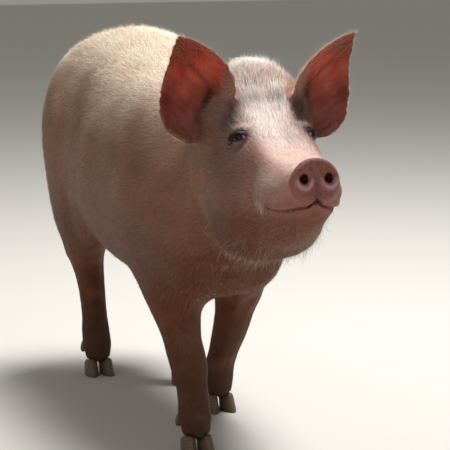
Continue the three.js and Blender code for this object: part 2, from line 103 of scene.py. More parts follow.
def rise(x: Array, low: float, high: float) -> Array:
    """A smooth step from 0 at low to 1 at high. It falls instead where high is the smaller."""
    t = np.clip((x - low) / (high - low), 0, 1)
    return t * t * (3 - 2 * t)


def mound(x: Array, centre: float, width: float) -> Array:
    """A smooth hump of height 1 about a centre."""
    return np.exp(-(((x - centre) / width) ** 2))


def spot(points: Array, centre: tuple[float, ...], radii: tuple[float, ...]) -> Array:
    """A smooth hump in space, its reach along each axis given by its radii."""
    return np.exp(-(((points - np.array(centre)) / np.array(radii)) ** 2).sum(1))


def spots(points: Array, table: tuple) -> Array:
    """The sum of the humps of a table, whose rows are height, centre and radii."""
    return sum(height * spot(points, centre, radii) for height, centre, radii in table)


def both_sides(points: Array) -> Array:
    """Places with their left made positive, so that both sides are alike."""
    first, left, up = points.T
    return np.stack([first, np.abs(left), up], 1)


def unit(vectors: Array) -> Array:
    """Each row at length 1."""
    return vectors / np.maximum(np.linalg.norm(vectors, axis=-1, keepdims=True), 1e-12)


def mix(a: Array, b: Array, share: Array) -> Array:
    """Rows of a turned towards b by each row's share."""
    return a + (b - a) * share[:, None]


def waves(points: Array, size: float, seed: int) -> Array:
    """Soft patches about -1 to 1, made of a few slanting sine waves.

    Args:
        points: Places in millimetres.
        size: The patches' rough size in millimetres.
        seed: Which pattern.

    Returns:
        One value for each point.
    """
    rng = np.random.default_rng(seed)
    total = np.zeros(len(points))
    for _ in range(6):
        way = rng.normal(size=3)
        way /= np.linalg.norm(way) * size / rng.uniform(2.2, 4.6)
        total += np.sin(points @ way + rng.uniform(0, 2 * math.pi))
    return total / 3


def line_distance(points: Array, line: list) -> Array:
    """How far each point is from a line of straight lengths."""
    best = np.full(len(points), 1e9)
    for a, b in zip(line[:-1], line[1:]):
        a, b = np.array(a, float), np.array(b, float)
        along = b - a
        t = np.clip(((points - a) @ along) / (along @ along), 0, 1)
        best = np.minimum(best, np.linalg.norm(points - a - t[:, None] * along, axis=1))
    return best


def rows(data: bpy.types.bpy_prop_collection, key: str, width: int, kind: type = float) -> Array:
    """One property of a mesh's vertices, normals, edges or corners, as rows."""
    flat = np.empty(len(data) * width, dtype=kind)
    data.foreach_get(key, flat)
    return flat.reshape(-1, width)


def coords(mesh: bpy.types.Mesh) -> Array:
    """A mesh's vertex places, in metres."""
    return rows(mesh.vertices, "co", 3)


def set_coords(mesh: bpy.types.Mesh, places: Array) -> None:
    """Moves a mesh's vertices."""
    mesh.vertices.foreach_set("co", places.ravel())
    mesh.update()


def normals(mesh: bpy.types.Mesh) -> Array:
    """A mesh's vertex normals."""
    return rows(mesh.vertex_normals, "vector", 3)


def edges(mesh: bpy.types.Mesh) -> Array:
    """A mesh's edges, as two vertex numbers each."""
    return rows(mesh.edges, "vertices", 2, np.int64)


def soften(
    places: Array, links: Array, share: Array, rounds: int, ties: Array | None = None
) -> Array:
    """Evens out a surface by moving each vertex towards the middle of its neighbours.

    Args:
        places: The vertices, or any columns of values for them.
        links: The edges.
        share: How far each vertex moves at each round, 0 to 1.
        rounds: How many rounds.
        ties: How strongly each edge pulls, or None for all alike.

    Returns:
        The moved vertices.
    """
    ties = np.ones(len(links)) if ties is None else ties
    a, b = links.T
    count = len(places)
    pull = np.maximum(np.bincount(a, ties, count) + np.bincount(b, ties, count), 1e-6)
    moved = places.copy()
    for _ in range(rounds):
        for k in range(moved.shape[1]):
            column = moved[:, k]
            total = np.bincount(a, ties * column[b], count)
            total += np.bincount(b, ties * column[a], count)
            moved[:, k] = column + share * (total / pull - column)
    return moved


def soften_values(values: Array, links: Array, rounds: int) -> Array:
    """Evens out one number per vertex over its neighbours."""
    return soften(values[:, None], links, np.full(len(values), 0.7), rounds)[:, 0]


def new_object(name: str, data: bpy.types.ID) -> bpy.types.Object:
    """A shown object for a mesh, a light or a camera, at the origin."""
    thing = bpy.data.objects.new(name, data)
    bpy.context.scene.collection.objects.link(thing)
    return thing


def mesh_of(name: str, shape: bmesh.types.BMesh) -> bpy.types.Mesh:
    """Turns a finished bmesh into a mesh, and frees it."""
    mesh = bpy.data.meshes.new(name)
    shape.to_mesh(mesh)
    shape.free()
    return mesh


def bake_modifiers(thing: bpy.types.Object) -> None:
    """Puts an object's modifiers into its mesh."""
    graph = bpy.context.evaluated_depsgraph_get()
    old = thing.data
    thing.data = bpy.data.meshes.new_from_object(thing.evaluated_get(graph))
    thing.modifiers.clear()
    bpy.data.meshes.remove(old)


def shade_smooth(mesh: bpy.types.Mesh) -> None:
    """Draws every face of a mesh with smooth shading."""
    mesh.polygons.foreach_set("use_smooth", np.ones(len(mesh.polygons), dtype=bool))


def put(mesh: bpy.types.Mesh, name: str, kind: str, values: Array) -> None:
    """Stores values for the vertices as a named attribute.

    Args:
        mesh: The mesh.
        name: The attribute's name.
        kind: "FLOAT", "FLOAT_VECTOR", or "FLOAT_COLOR" for linear colours.
        values: One number, vector or colour for each vertex.
    """
    key = {"FLOAT": "value", "FLOAT_VECTOR": "vector", "FLOAT_COLOR": "color"}[kind]
    if kind == "FLOAT_COLOR":
        values = np.column_stack([values, np.ones(len(values))])
    layer = mesh.attributes.new(name, kind, "POINT")
    layer.data.foreach_set(key, values.astype(np.float32).ravel())


# ---------------------------------------------------------------- the animal's own directions


@dataclass(frozen=True)
class Axes:
    """The trunk's and the head's own directions, in millimetres.

    The trunk's are forward, left and up. The head's start at the middle of the snout disc and run
    back, left and up. They are found from the two eyes, whose places in both are set sizes.
    """

    pitch: float = math.radians(8)
    yaw: float = math.radians(1.5)
    eye_back: float = 168
    eye_up: float = 75
    snout: tuple[float, float, float] = (746, 3, 533)
    eyes: tuple[float, float, float] = (0, 0, 0)

    @property
    def head_rows(self) -> Array:
        """The head's forward, left and up as rows of world directions."""
        cp, sp = math.cos(self.pitch), math.sin(self.pitch)
        cy, sy = math.cos(self.yaw), math.sin(self.yaw)
        forward = np.array([cp * sy, -cp * cy, sp])
        left = np.array([cy, sy, 0.0])
        return np.array([forward, left, np.cross(forward, left)])

    @property
    def head_origin(self) -> Array:
        """The middle of the snout disc, in metres."""
        forward, _, up = self.head_rows
        return np.array(self.eyes) + (self.eye_back * forward - self.eye_up * up) * MM

    @property
    def trunk_origin(self) -> Array:
        """The place in metres from which the trunk's millimetres count."""
        f, l, u = self.snout
        return self.head_origin - np.array([l, -f, u]) * MM

    def head(self, points: Array) -> Array:
        """World points as back, left and up from the snout, in millimetres."""
        local = (points - self.head_origin) @ self.head_rows.T / MM
        return local * np.array([-1, 1, 1])

    def from_head(self, places: Array) -> Array:
        """Back, left and up in millimetres as world points."""
        signed = np.asarray(places) * np.array([-1, 1, 1])
        return self.head_origin + signed @ self.head_rows * MM

    def head_ways(self, ways: Array) -> Array:
        """Directions given as back, left and up, turned to the world's."""
        return (np.asarray(ways) * np.array([-1, 1, 1])) @ self.head_rows

    def trunk(self, points: Array) -> Array:
        """World points as forward, left and up, in millimetres."""
        local = (points - self.trunk_origin) / MM
        return np.stack([-local[:, 1], local[:, 0], local[:, 2]], 1)

    def from_trunk(self, place: tuple[float, float, float]) -> Vector:
        """Forward, left and up in millimetres as a world point."""
        f, l, u = place
        return Vector(self.trunk_origin + np.array([l, -f, u]) * MM)


def middle_of(node: str) -> Array:
    """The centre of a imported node's box, in metres."""
    low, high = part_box(node)
    return (np.array(low) + np.array(high)) / 2


# ---------------------------------------------------------------- finishes


BLEND = {"data_type": "RGBA", "blend_type": "MIX"}
TIMES = {"data_type": "RGBA", "blend_type": "MULTIPLY"}


class Nodes:
    """Builds a material's nodes."""

    def __init__(self, name: str) -> None:
        """Starts a material with a Principled shader."""
        self.material = bpy.data.materials.new(name)
        self.material.use_nodes = True
        self.tree = self.material.node_tree
        self.shader = next(n for n in self.tree.nodes if n.type == "BSDF_PRINCIPLED")

    def add(
        self, kind: str, settings: dict | None = None, out: str | int = 0, **inputs
    ) -> bpy.types.NodeSocket:
        """Adds a node with its settings and links.

        Args:
            kind: The node's type name, without its "ShaderNode" prefix.
            settings: Properties of the node.
            out: The name or number of the output that is wanted.
            **inputs: Sockets by name, with "_" for a space: a value, or a node's output to link.

        Returns:
            The output's socket.
        """
        node = self.tree.nodes.new("ShaderNode" + kind)
        for key, value in (settings or {}).items():
            setattr(node, key, value)
        self.feed(node, **inputs)
        return node.outputs[out]

    def feed(self, node: bpy.types.Node, **inputs) -> None:
        """Sets or links a node's sockets, named as in add, or by number as "i0", "i1"."""
        for key, value in inputs.items():
            number = key[1:] if key[0] == "i" and key[1:].isdigit() else None
            socket = node.inputs[int(number)] if number else node.inputs[key.replace("_", " ")]
            if isinstance(value, bpy.types.NodeSocket):
                self.tree.links.new(value, socket)
            else:
                socket.default_value = value


@dataclass(frozen=True)
class Hide:
    """Living pig skin under short hair: matt, soft, finely creased, a little greasy."""

    name: str = "pig_skin"
    roughness: float = 0.6
    specular: float = 0.18
    pore_mm: float = 1.6  # the grain of pores and fine creases, drawn coarser than life to show
    relief_mm: float = 0.8
    blush_mm: float = 35  # the patches where blood shows more
    hair_length_mm: float = 16  # shadows of the lying hair, along the coat
    hair_width_mm: float = 1.5
    light_reach: tuple[float, ...] = (0.006, 0.0024, 0.0012)  # metres of red, green and blue

    def make(self) -> bpy.types.Material:
        """Builds the material. The vertex colours give the markings, the nodes the fine grain."""
        n = Nodes(self.name)
        tint = n.add("Attribute", {"attribute_name": "tint"}, "Color")
        comb = n.add("Attribute", {"attribute_name": "comb"}, "Vector")
        bare = n.add("Attribute", {"attribute_name": "bare"}, "Fac")
        place = n.add("TexCoord", None, "Object")
        # Hair shadows: noise drawn out along the lie of the coat. The comb counts metres along
        # it and metres across it.
        stretch = (1 / (self.hair_length_mm * MM), 1 / (self.hair_width_mm * MM), 1.0)
        lines = n.add("Mapping", Vector=comb, Scale=stretch)
        strokes = n.add("TexNoise", None, "Fac", Vector=lines, Scale=1.0, Detail=2.0)
        pores = 1 / (self.pore_mm * MM)
        grain = n.add("TexNoise", None, "Fac", Vector=place, Scale=pores, Detail=3.0)
        blushes = 1 / (self.blush_mm * MM)
        blotch = n.add("TexNoise", None, "Fac", Vector=place, Scale=blushes, Detail=4.0)
        shade = n.add("MapRange", Value=strokes, From_Min=0.35, From_Max=0.65)
        dark = n.add("Mix", TIMES, 2, i0=1.0, i6=tint, i7=rgba("#dfc8bd"))
        light = n.add("Mix", BLEND, 2, i0=0.05, i6=tint, i7=rgba("#fff1de"))
        haired = n.add("Mix", BLEND, 2, i0=shade, i6=dark, i7=light)
        coloured = n.add("Mix", BLEND, 2, i0=bare, i6=haired, i7=tint)
        ruddy = n.add("Mix", TIMES, 2, i0=1.0, i6=coloured, i7=rgba("#efc9bd"))
        red_share = n.add("MapRange", Value=blotch, From_Min=0.5, From_Max=0.72, To_Max=0.55)
        patched = n.add("Mix", BLEND, 2, i0=red_share, i6=coloured, i7=ruddy)
        speck = n.add("MapRange", Value=grain, From_Min=0.3, From_Max=0.52, To_Min=0.5, To_Max=0.0)
        specked = n.add("Mix", TIMES, 2, i0=1.0, i6=patched, i7=rgba("#b98f7e"))
        height = n.add("Math", {"operation": "ADD"}, i0=grain, i1=strokes)
        n.feed(
            n.shader,
            Base_Color=n.add("Mix", BLEND, 2, i0=speck, i6=patched, i7=specked),
            Roughness=self.roughness,
            Normal=n.add("Bump", Strength=0.6, Distance=self.relief_mm * MM, Height=height),
            Subsurface_Weight=0.08,
            Subsurface_Radius=self.light_reach,
            Subsurface_Scale=1.0,
            Specular_IOR_Level=self.specular,
        )
        return n.material


@dataclass(frozen=True)
class Bristle:
    """Pig bristle: a stiff, smooth, slightly glossy hair, creamy white with a darker root."""

    name: str = "pig_bristle"
    roughness: float = 0.42
    specular: float = 0.22
    patches: float = 260.0  # darker patches to the metre

    def make(self) -> bpy.types.Material:
        """Builds the material from each hair's own stored colour."""
        n = Nodes(self.name)
        tint = n.add("Attribute", {"attribute_name": "tint"}, "Color")
        place = n.add("TexCoord", None, "Object")
        uneven = n.add("TexNoise", None, "Fac", Vector=place, Scale=self.patches, Detail=1.0)
        share = n.add("MapRange", Value=uneven, From_Min=0.4, From_Max=0.7, To_Max=0.35)
        darker = n.add("Mix", TIMES, 2, i0=1.0, i6=tint, i7=rgba("#e3cdb6"))
        colour = n.add("Mix", BLEND, 2, i0=share, i6=tint, i7=darker)
        n.feed(
            n.shader,
            Base_Color=colour,
            Roughness=self.roughness,
            Specular_IOR_Level=self.specular,
        )
        return n.material


@dataclass(frozen=True)
class Horn:
    """Hoof horn: hard, dry keratin in faint growth rings, muddy at the sole."""

    name: str = "hoof_horn"
    roughness: float = 0.5
    ring_mm: float = 5.0
    wave: float = 0.314  # metres between the rings of a wave whose scale is 1
    streaks: tuple[float, ...] = (700.0, 700.0, 60.0)  # to the metre, round the claw and down it
    mud: float = 0.014  # metres above the sole that mud reaches

    def make(self) -> bpy.types.Material:
        """Builds the material, with rings that follow the height above the ground."""
        n = Nodes(self.name)
        place = n.add("TexCoord", None, "Object")
        rings = n.add(
            "TexWave",
            {"bands_direction": "Z"},
            "Fac",
            Vector=place,
            Scale=self.wave / (self.ring_mm * MM),
            Distortion=3.0,
            Detail=2.0,
        )
        drawn = n.add("Mapping", Vector=place, Scale=self.streaks)
        streak = n.add("TexNoise", None, "Fac", Vector=drawn, Scale=1.0, Detail=3.0)
        horn = n.add("Mix", BLEND, 2, i0=streak, i6=rgba("#4d3d31"), i7=rgba("#8a7360"))
        dark = n.add("Mix", TIMES, 2, i0=rings, i6=horn, i7=rgba("#6b594b"))
        ringed = n.add("Mix", BLEND, 2, i0=0.25, i6=horn, i7=dark)
        height = n.add("SeparateXYZ", None, "Z", Vector=place)
        mud = n.add("MapRange", Value=height, From_Max=self.mud, To_Min=0.8, To_Max=0.0)
        n.feed(
            n.shader,
            Base_Color=n.add("Mix", BLEND, 2, i0=mud, i6=ringed, i7=rgba("#5b4a38")),
            Roughness=self.roughness,
            Normal=n.add("Bump", Strength=0.4, Distance=0.5 * MM, Height=rings),
        )
        return n.material


@dataclass(frozen=True)
class EyeGlass:
    """A wet eyeball: brown iris round a dark oval pupil, pale sclera at its edge, glossy cornea."""

    name: str = "wet_eyeball"
    roughness: float = 0.05
    specular: float = 0.36
    fibres: float = 1500.0  # to the metre
    # From the pupil over the iris and its dark rim to the sclera.
    stops: tuple[tuple[float, str], ...] = (
        (0.22, "#0a0605"),
        (0.27, "#2b170d"),
        (0.50, "#33210f"),
        (0.60, "#140b08"),
        (0.64, "#8a8286"),
        (0.72, "#cfd0d6"),
    )

    def make(self) -> bpy.types.Material:
        """Builds the material from each vertex's stored share of the way out from the pupil."""
        n = Nodes(self.name)
        out = n.add("Attribute", {"attribute_name": "iris"}, "Fac")
        rings = n.add("ValToRGB", Fac=out)
        ramp = rings.node.color_ramp.elements
        for number, (position, colour) in enumerate(self.stops):
            stop = ramp[number] if number < 2 else ramp.new(position)
            stop.position = position
            stop.color = rgba(colour)
        place = n.add("TexCoord", None, "Object")
        fibre = n.add("TexNoise", None, "Fac", Vector=place, Scale=self.fibres, Detail=2.0)
        n.feed(
            n.shader,
            Base_Color=n.add("Mix", TIMES, 2, i0=0.5, i6=rings, i7=fibre),
            Roughness=self.roughness,
            Specular_IOR_Level=self.specular,
        )
        return n.material


# ---------------------------------------------------------------- studio


@dataclass(frozen=True)
class Lamp:
    """A square soft light. Its places are the trunk's millimetres, its size is in metres."""

    name: str
    place: tuple[float, float, float]
    target: tuple[float, float, float]
    size: float
    watts: float


@dataclass(frozen=True)
class Studio:
    """A plain pale floor, soft light from above, and the camera before the pig's right side."""

    axes: Axes
    camera_at: tuple[float, float, float] = (3571, -1090, 969)
    azimuth: float = math.radians(18.5)
    pitch: float = math.radians(-9.4)
    lens: float = 160
    sensor: float = 36
    far: float = 60
    floor_half: float = 14.0
    surround: float = 0.31
    lamps: tuple[Lamp, ...] = (
        Lamp("key", (-500, 850, 3650), (150, 0, 450), 1.4, 190),
        Lamp("front", (3400, -2600, 1900), (200, 0, 400), 2.4, 18),
    )

    def build(self) -> None:
        """Makes the floor, the lights, the world and the camera."""
        self.make_floor()
        self.make_world()
        for lamp in self.lamps:
            self.make_light(lamp)
        self.make_camera()
        bpy.context.scene.view_settings.view_transform = "Standard"

    def make_floor(self) -> None:
        """One pale matt square."""
        shape = bmesh.new()
        bmesh.ops.create_grid(shape, x_segments=1, y_segments=1, size=self.floor_half)
        floor = new_object("floor", mesh_of("floor", shape))
        n = Nodes("floor_paint")
        n.feed(n.shader, Base_Color=rgba("#d2cfc9"), Roughness=0.9)
        floor.data.materials.append(n.material)

    def make_world(self) -> None:
        """An even, pale surround."""
        world = bpy.data.worlds.new("surround")
        bpy.context.scene.world = world
        world.use_nodes = True
        back = next(n for n in world.node_tree.nodes if n.type == "BACKGROUND")
        back.inputs["Color"].default_value = rgba("#f6f3ee")
        back.inputs["Strength"].default_value = self.surround

    def make_light(self, lamp: Lamp) -> None:
        """Hangs one light and turns it to its target."""
        light = bpy.data.lights.new(lamp.name, "AREA")
        light.size = lamp.size
        light.energy = lamp.watts
        holder = new_object(lamp.name, light)
        start, end = self.axes.from_trunk(lamp.place), self.axes.from_trunk(lamp.target)
        holder.location = start
        holder.rotation_euler = (end - start).to_track_quat("-Z", "Y").to_euler()

    def make_camera(self) -> None:
        """The camera, level from side to side."""
        lens = bpy.data.cameras.new("camera")
        lens.lens = self.lens
        lens.sensor_width = self.sensor
        lens.clip_end = self.far
        camera = new_object("camera", lens)
        level = math.cos(self.pitch)
        look = (
            level * math.sin(self.azimuth),
            level * math.cos(self.azimuth),
            math.sin(self.pitch),
        )
        camera.location = self.axes.from_trunk(self.camera_at)
        camera.rotation_euler = Vector(look).to_track_quat("-Z", "Y").to_euler()
        bpy.context.scene.camera = camera


# ---------------------------------------------------------------- eye sockets


@dataclass(frozen=True)
class Socket:
    """The place and opening of one eye, in its own millimetres: ahead, upward and outward.

    The folds beside the opening are rows of height, distance from the lid's edge and width.
    """

    name: str
    axes: Axes
    ball: float = 12.5
    half_length: float = 14.0
    upper_arc: float = 3.4
    lower_arc: float = 6.4
    lid: float = 1.8
    # Above: the lid's own fold, then the brow. Below: two slack folds.
    upper_folds: tuple = ((-1.8, 7.2, 1.6), (1.2, 3.4, 2.2), (3.0, 14.0, 4.6), (-0.9, 11.0, 1.5))
    lower_folds: tuple = ((-0.9, 4.0, 1.4), (0.7, 1.8, 1.3), (-0.9, 8.4, 1.6), (0.8, 6.2, 1.6))
    tail: tuple = ((-13.0, -0.5), (-17.5, -4.0), (-20.5, -9.0))  # the groove off the outer corner

    @property
    def side(self) -> int:
        """1 for the left eye and -1 for the right."""
        return 1 if self.name.endswith("left") else -1

    @property
    def ways(self) -> Array:
        """Rows of world directions: ahead towards the inner corner, upward, outward."""
        outward = unit(self.axes.head_ways((-0.56, self.side * 0.80, 0.20)))
        ahead = self.axes.head_ways((-1.0, 0.0, 0.26))
        ahead = unit(ahead - (ahead @ outward) * outward)
        upward = np.cross(outward, ahead)
        return np.array([ahead, upward * np.sign(upward[2]), outward])

    def local(self, points: Array) -> Array:
        """World points in the socket's millimetres."""
        return (points - middle_of(self.name)) @ self.ways.T / MM

    def world(self, places: Array) -> Array:
        """The socket's millimetres as world points."""
        return middle_of(self.name) + places @ self.ways * MM

    def beyond(self, x: Array, y: Array) -> Array:
        """Millimetres out from the edge of the opening, negative inside it."""
        t = np.clip((x + self.half_length) / (2 * self.half_length), 0, 1)
        arch = np.clip(4 * t * (1 - t), 0, 1) ** 0.6
        top = self.upper_arc * arch * (1.12 - 0.24 * t)
        bottom = -self.lower_arc * arch * (0.9 + 0.2 * t)
        inside = np.minimum(top - y, y - bottom)
        past = np.abs(x) - self.half_length
        return np.where(past > 0, np.hypot(past, y * 0.7), -inside)

    def off_tail(self, x: Array, y: Array) -> Array:
        """Millimetres from the groove off the outer corner."""
        return line_distance(np.stack([x, y], 1), self.tail)

    def wrap(self, local: Array) -> Array:
        """How far out the skin lies over the ball, with its opening, lids and folds.

        Args:
            local: Places near the eye, in the socket's millimetres.

        Returns:
            The outward part of each place.
        """
        x, y, z = local.T
        r = np.hypot(x, y)
        out_by = self.beyond(x, y)
        skin_ball = self.ball + self.lid
        turn_off = skin_ball * 0.86
        cap = np.sqrt(np.clip(skin_ball**2 - np.minimum(r, turn_off) ** 2, 0, None))
        cap -= 0.8 * np.maximum(r - turn_off, 0)
        height = z + (cap - z) * rise(r, 27, 12)
        upper = rise(y, -4, 2)
        folds = upper * sum(h * mound(out_by, at, wide) for h, at, wide in self.upper_folds)
        folds += (1 - upper) * sum(h * mound(out_by, at, wide) for h, at, wide in self.lower_folds)
        folds *= rise(x, -25, -13) * rise(x, 17, 6)
        folds += -2.6 * mound(self.off_tail(x, y), 0, 2.2)
        hole = rise(out_by, 0.3, -0.5)
        floor = np.sqrt(np.clip(self.ball**2 - r**2, 0, None)) - 1.2
        return (height + folds) * (1 - hole) + np.maximum(floor, cap - 4.0) * hole


# ---------------------------------------------------------------- skin


@dataclass
class Skin:
    """One seamless skin over all the flesh, lying inside it by the depth of the coat."""

    axes: Axes
    nodes: dict
    voxel: float = 2.7  # mm
    grown: float = 0.5  # mm that each solid grows, so that the thin cuts between them close
    ear_grown: float = 1.6  # mm that the ears grow, so that their thin edges survive the remesh
    rounds: int = 130  # of softening the facets
    body_faces: int = 52000  # triangles left on the trunk, neck and legs
    all_faces: int = 92000  # triangles left in all before the face is refined
    thing: bpy.types.Object = None
    share: dict = field(default_factory=dict)

    def build(self) -> bpy.types.Object:
        """Makes the skin and returns its object."""
        self.flesh = [n for n in sorted(self.nodes) if not any(w in n for w in NOT_FLESH)]
        self.covered = [*self.flesh, *EYES]
        self.join_flesh()
        self.round_facets()
        self.thin_body()
        self.refine_face()
        self.find_parts()
        Sculptor(self).run()
        shade_smooth(self.thing.data)
        return self.thing

    def join_flesh(self) -> None:
        """Joins flesh and eyes into one closed mesh, and keeps where each node was."""
        joined = bmesh.new()
        self.owner = []
        for number, name in enumerate(self.covered):
            part = bmesh.new()
            part.from_mesh(self.nodes[name].data)
            bmesh.ops.remove_doubles(part, verts=part.verts, dist=SAME_PLACE)
            grown = self.ear_grown if name in EARS else self.grown
            for vert in part.verts:
                vert.co += vert.normal * grown * MM
            mesh = mesh_of("part", part)
            joined.from_mesh(mesh)
            bpy.data.meshes.remove(mesh)
            self.owner += [number] * (len(joined.faces) - len(self.owner))
        joined.verts.ensure_lookup_table()
        self.tree = BVHTree.FromBMesh(joined)
        self.thing = new_object("skin", mesh_of("skin", joined))
        remesh = self.thing.modifiers.new("remesh", "REMESH")
        remesh.mode = "VOXEL"
        remesh.voxel_size = self.voxel * MM
        bake_modifiers(self.thing)
        log.info("joined skin: %d vertices", len(self.thing.data.vertices))

    def find_parts(self) -> None:
        """Gives each vertex a share, 0 to 1, in each named part, soft where two parts meet."""
        mesh = self.thing.data
        places = coords(mesh)
        found = [self.owner[self.tree.find_nearest(Vector(p))[2]] for p in places]
        names = np.array(self.covered)[found]
        links = edges(mesh)
        groups = {part: (part,) for part in ("trunk", "neck", "snout", "tail", *EARS, *LEGS)}
        groups["head"] = ("head", "jaw", "snout", "eye")
        for group, starts in groups.items():
            inside = sum(np.char.startswith(names, start) for start in starts)
            self.share[group] = soften_values(inside.astype(float), links, 10)
        self.share["ears"] = self.share["ear_left"] + self.share["ear_right"]
        self.share["legs"] = sum(self.share[leg] for leg in LEGS)

    def round_facets(self) -> None:
        """Rounds the flat facets off, most on the trunk and least on the tail and the disc."""
        self.find_parts()
        mesh = self.thing.data
        places = coords(mesh)
        links = edges(mesh)
        out = normals(mesh)
        bend = np.clip((out[links[:, 0]] * out[links[:, 1]]).sum(1), 0.02, 1)
        s = self.share
        ties = bend ** np.where(s["ears"][links].min(1) > 0.5, 1.5, 6.0)
        back = self.axes.head(places)[:, 0]
        up = self.axes.trunk(places)[:, 2]
        reach = np.full(len(places), 19.0)
        for part, wide in {
            "head": 8.0,
            "neck": 19.0 - 9 * rise(back, 380, 300),
            "snout": 3.0,
            "ears": 6.0,
            "legs": 6.5 + 8 * rise(up, 240, 330),
            "tail": 2.5,
        }.items():
            reach = np.where(s[part] > 0.5, wide, reach)
        reach = soften_values(reach, links, 14)
        share = np.minimum(reach**2 * 2 / (self.voxel**2 * self.rounds), 0.9)
        soft = soften(places, links, share, self.rounds, ties)
        # Softening pulls round shapes in. The loss, evened out in the same way, is put back.
        set_coords(mesh, soft)
        out = normals(mesh)
        loss = ((places - soft) * out).sum(1)
        loss = soften(loss[:, None], links, share, self.rounds, ties)
        set_coords(mesh, soft + out * loss)

    def thin_body(self) -> None:
        """Thins the mesh where the form is broad, and leaves the head and ears fine."""
        mesh = self.thing.data
        s = self.share
        fine = np.clip(s["head"] + s["ears"] + s["tail"], 0, 1)
        head = self.axes.head(coords(mesh))
        fine = np.maximum(fine, rise(head[:, 0], 330, 290) * (head[:, 2] > -150))
        broad = fine < 0.3
        group = self.thing.vertex_groups.new(name="thin")
        group.add(np.flatnonzero(broad).tolist(), 1.0, "REPLACE")
        goal = int((~broad).sum()) * 2 + self.body_faces
        self.decimate(goal / (len(mesh.polygons) * 2), "thin")
        self.thing.vertex_groups.clear()
        self.decimate(self.all_faces / goal)
        log.info("thinned skin: %d faces", len(self.thing.data.polygons))

    def decimate(self, ratio: float, group: str = "") -> None:
        """Leaves a share of the triangles, within a vertex group where one is named."""
        thin = self.thing.modifiers.new("thin", "DECIMATE")
        thin.ratio = min(ratio, 1.0)
        thin.vertex_group = group
        bake_modifiers(self.thing)

    def refine_face(self) -> None:
        """Divides the mesh further round the eyes, along the mouth and over the snout disc."""
        for level in range(2):
            mesh = bmesh.new()
            mesh.from_mesh(self.thing.data)
            bmesh.ops.triangulate(mesh, faces=mesh.faces)
            wanted = self.fine_places(np.array([v.co for v in mesh.verts]), level)
            chosen = [e for e in mesh.edges if all(wanted[v.index] for v in e.verts)]
            bmesh.ops.subdivide_edges(mesh, edges=chosen, cuts=1, use_grid_fill=True)
            bmesh.ops.triangulate(mesh, faces=mesh.faces)
            mesh.to_mesh(self.thing.data)
            mesh.free()
        log.info("refined skin: %d faces", len(self.thing.data.polygons))

    def fine_places(self, places: Array, level: int) -> Array:
        """Which vertices need a finer mesh, at the first level of refining or the second."""
        disc, low, eye, teat = ((52, -95, 44, 18), (16, -60, 25, 11))[level]
        head = self.axes.head(places)
        trunk = both_sides(self.axes.trunk(places))
        wanted = (head[:, 0] < disc) & (head[:, 2] > low)
        for name in EYES:
            wanted |= np.linalg.norm(places - middle_of(name), axis=1) / MM < eye
        if level == 0:
            wanted |= (head[:, 0] < 112) & (np.abs(head[:, 2] + 36) < 16)  # the mouth
            wanted |= np.linalg.norm(trunk - np.array(Sculptor.elbow), axis=1) < 66
        for forward, left in Sculptor.teats:
            near = np.hypot(trunk[:, 0] - forward, trunk[:, 1] - left) < teat
            wanted |= near & (trunk[:, 2] < 330) & (trunk[:, 2] > 200)
        return wanted


@dataclass(frozen=True)
class Disc:
    """The snout disc's sizes in the head's axes, as its solid has them."""

    left: float = 1.5
    up: float = 3.0
    half_width: float = 40.0
    half_height: float = 36.5
    nostril_left: float = 20.5
    nostril_up: float = 4.0
    nostril_radius: float = 7.0

    def local(self, head: Array) -> tuple[Array, Array]:
        """Left and up from the disc's middle."""
        return head[:, 1] - self.left, head[:, 2] - self.up

    def nostril(self, head: Array) -> Array:
        """Distance from the nearer nostril's middle, 1 at its edge."""
        left, up = self.local(head)
        across = (np.abs(left) - self.nostril_left) / self.nostril_radius
        return np.hypot(across, (up - self.nostril_up) / (self.nostril_radius * 1.2))

    def edge(self, head: Array) -> Array:
        """Distance from the middle, 1 at the disc's outline."""
        left, up = self.local(head)
        return np.hypot(left / self.half_width, up / self.half_height)


DISC = Disc()


class Ear:
    """The ears' grid, which runs from 0 to 1 up each ear and from its inner edge to its outer."""

    low = 62  # mm above the disc's middle
    height = 187
    canal = [(0.47, 0.31), (0.36, 0.33), (0.25, 0.37)]
    fold = [(0.72, 0.58), (0.65, 0.43), (0.56, 0.34), (0.47, 0.31)]
    # Rows of a height and how far out from the middle of the head the edge lies there.
    inner_edge = ([62, 108, 153, 198, 227, 249], [56, 54, 46, 70, 109, 160])
    outer_edge = ([70, 73, 93, 132, 181, 214, 249], [90, 126, 157, 170, 165, 160, 162])
    furry_edge = ([0.15, 0.29, 0.38, 0.51, 0.65, 0.9], [0.35, 0.28, 0.22, 0.12, 0.03, 0.01])

    @classmethod
    def grid(cls, head: Array) -> tuple[Array, Array]:
        """Where points lie on an ear.

        Args:
            head: Places in the head's axes.

        Returns:
            How far each is up the ear, and how far across it.
        """
        side, up = np.abs(head[:, 1]), head[:, 2]
        inner = np.interp(up, *cls.inner_edge)
        outer = np.interp(up, *cls.outer_edge)
        return np.clip((up - cls.low) / cls.height, 0, 1), (side - inner) / (outer - inner)

    @classmethod
    def margin(cls, along: Array) -> Array:
        """How far across an ear its furry inner margin reaches."""
        return np.interp(along, *cls.furry_edge)

    @staticmethod
    def facing(axes: Axes, head: Array, out: Array) -> Array:
        """From 1 on the hollow side of an ear to -1 on its back."""
        side = np.sign(head[:, 1])
        way = np.stack([np.full(len(side), -0.80), 0.48 * side, np.full(len(side), -0.36)], 1)
        return np.clip((axes.head_ways(way) * out).sum(1) * 1.5, -1, 1)


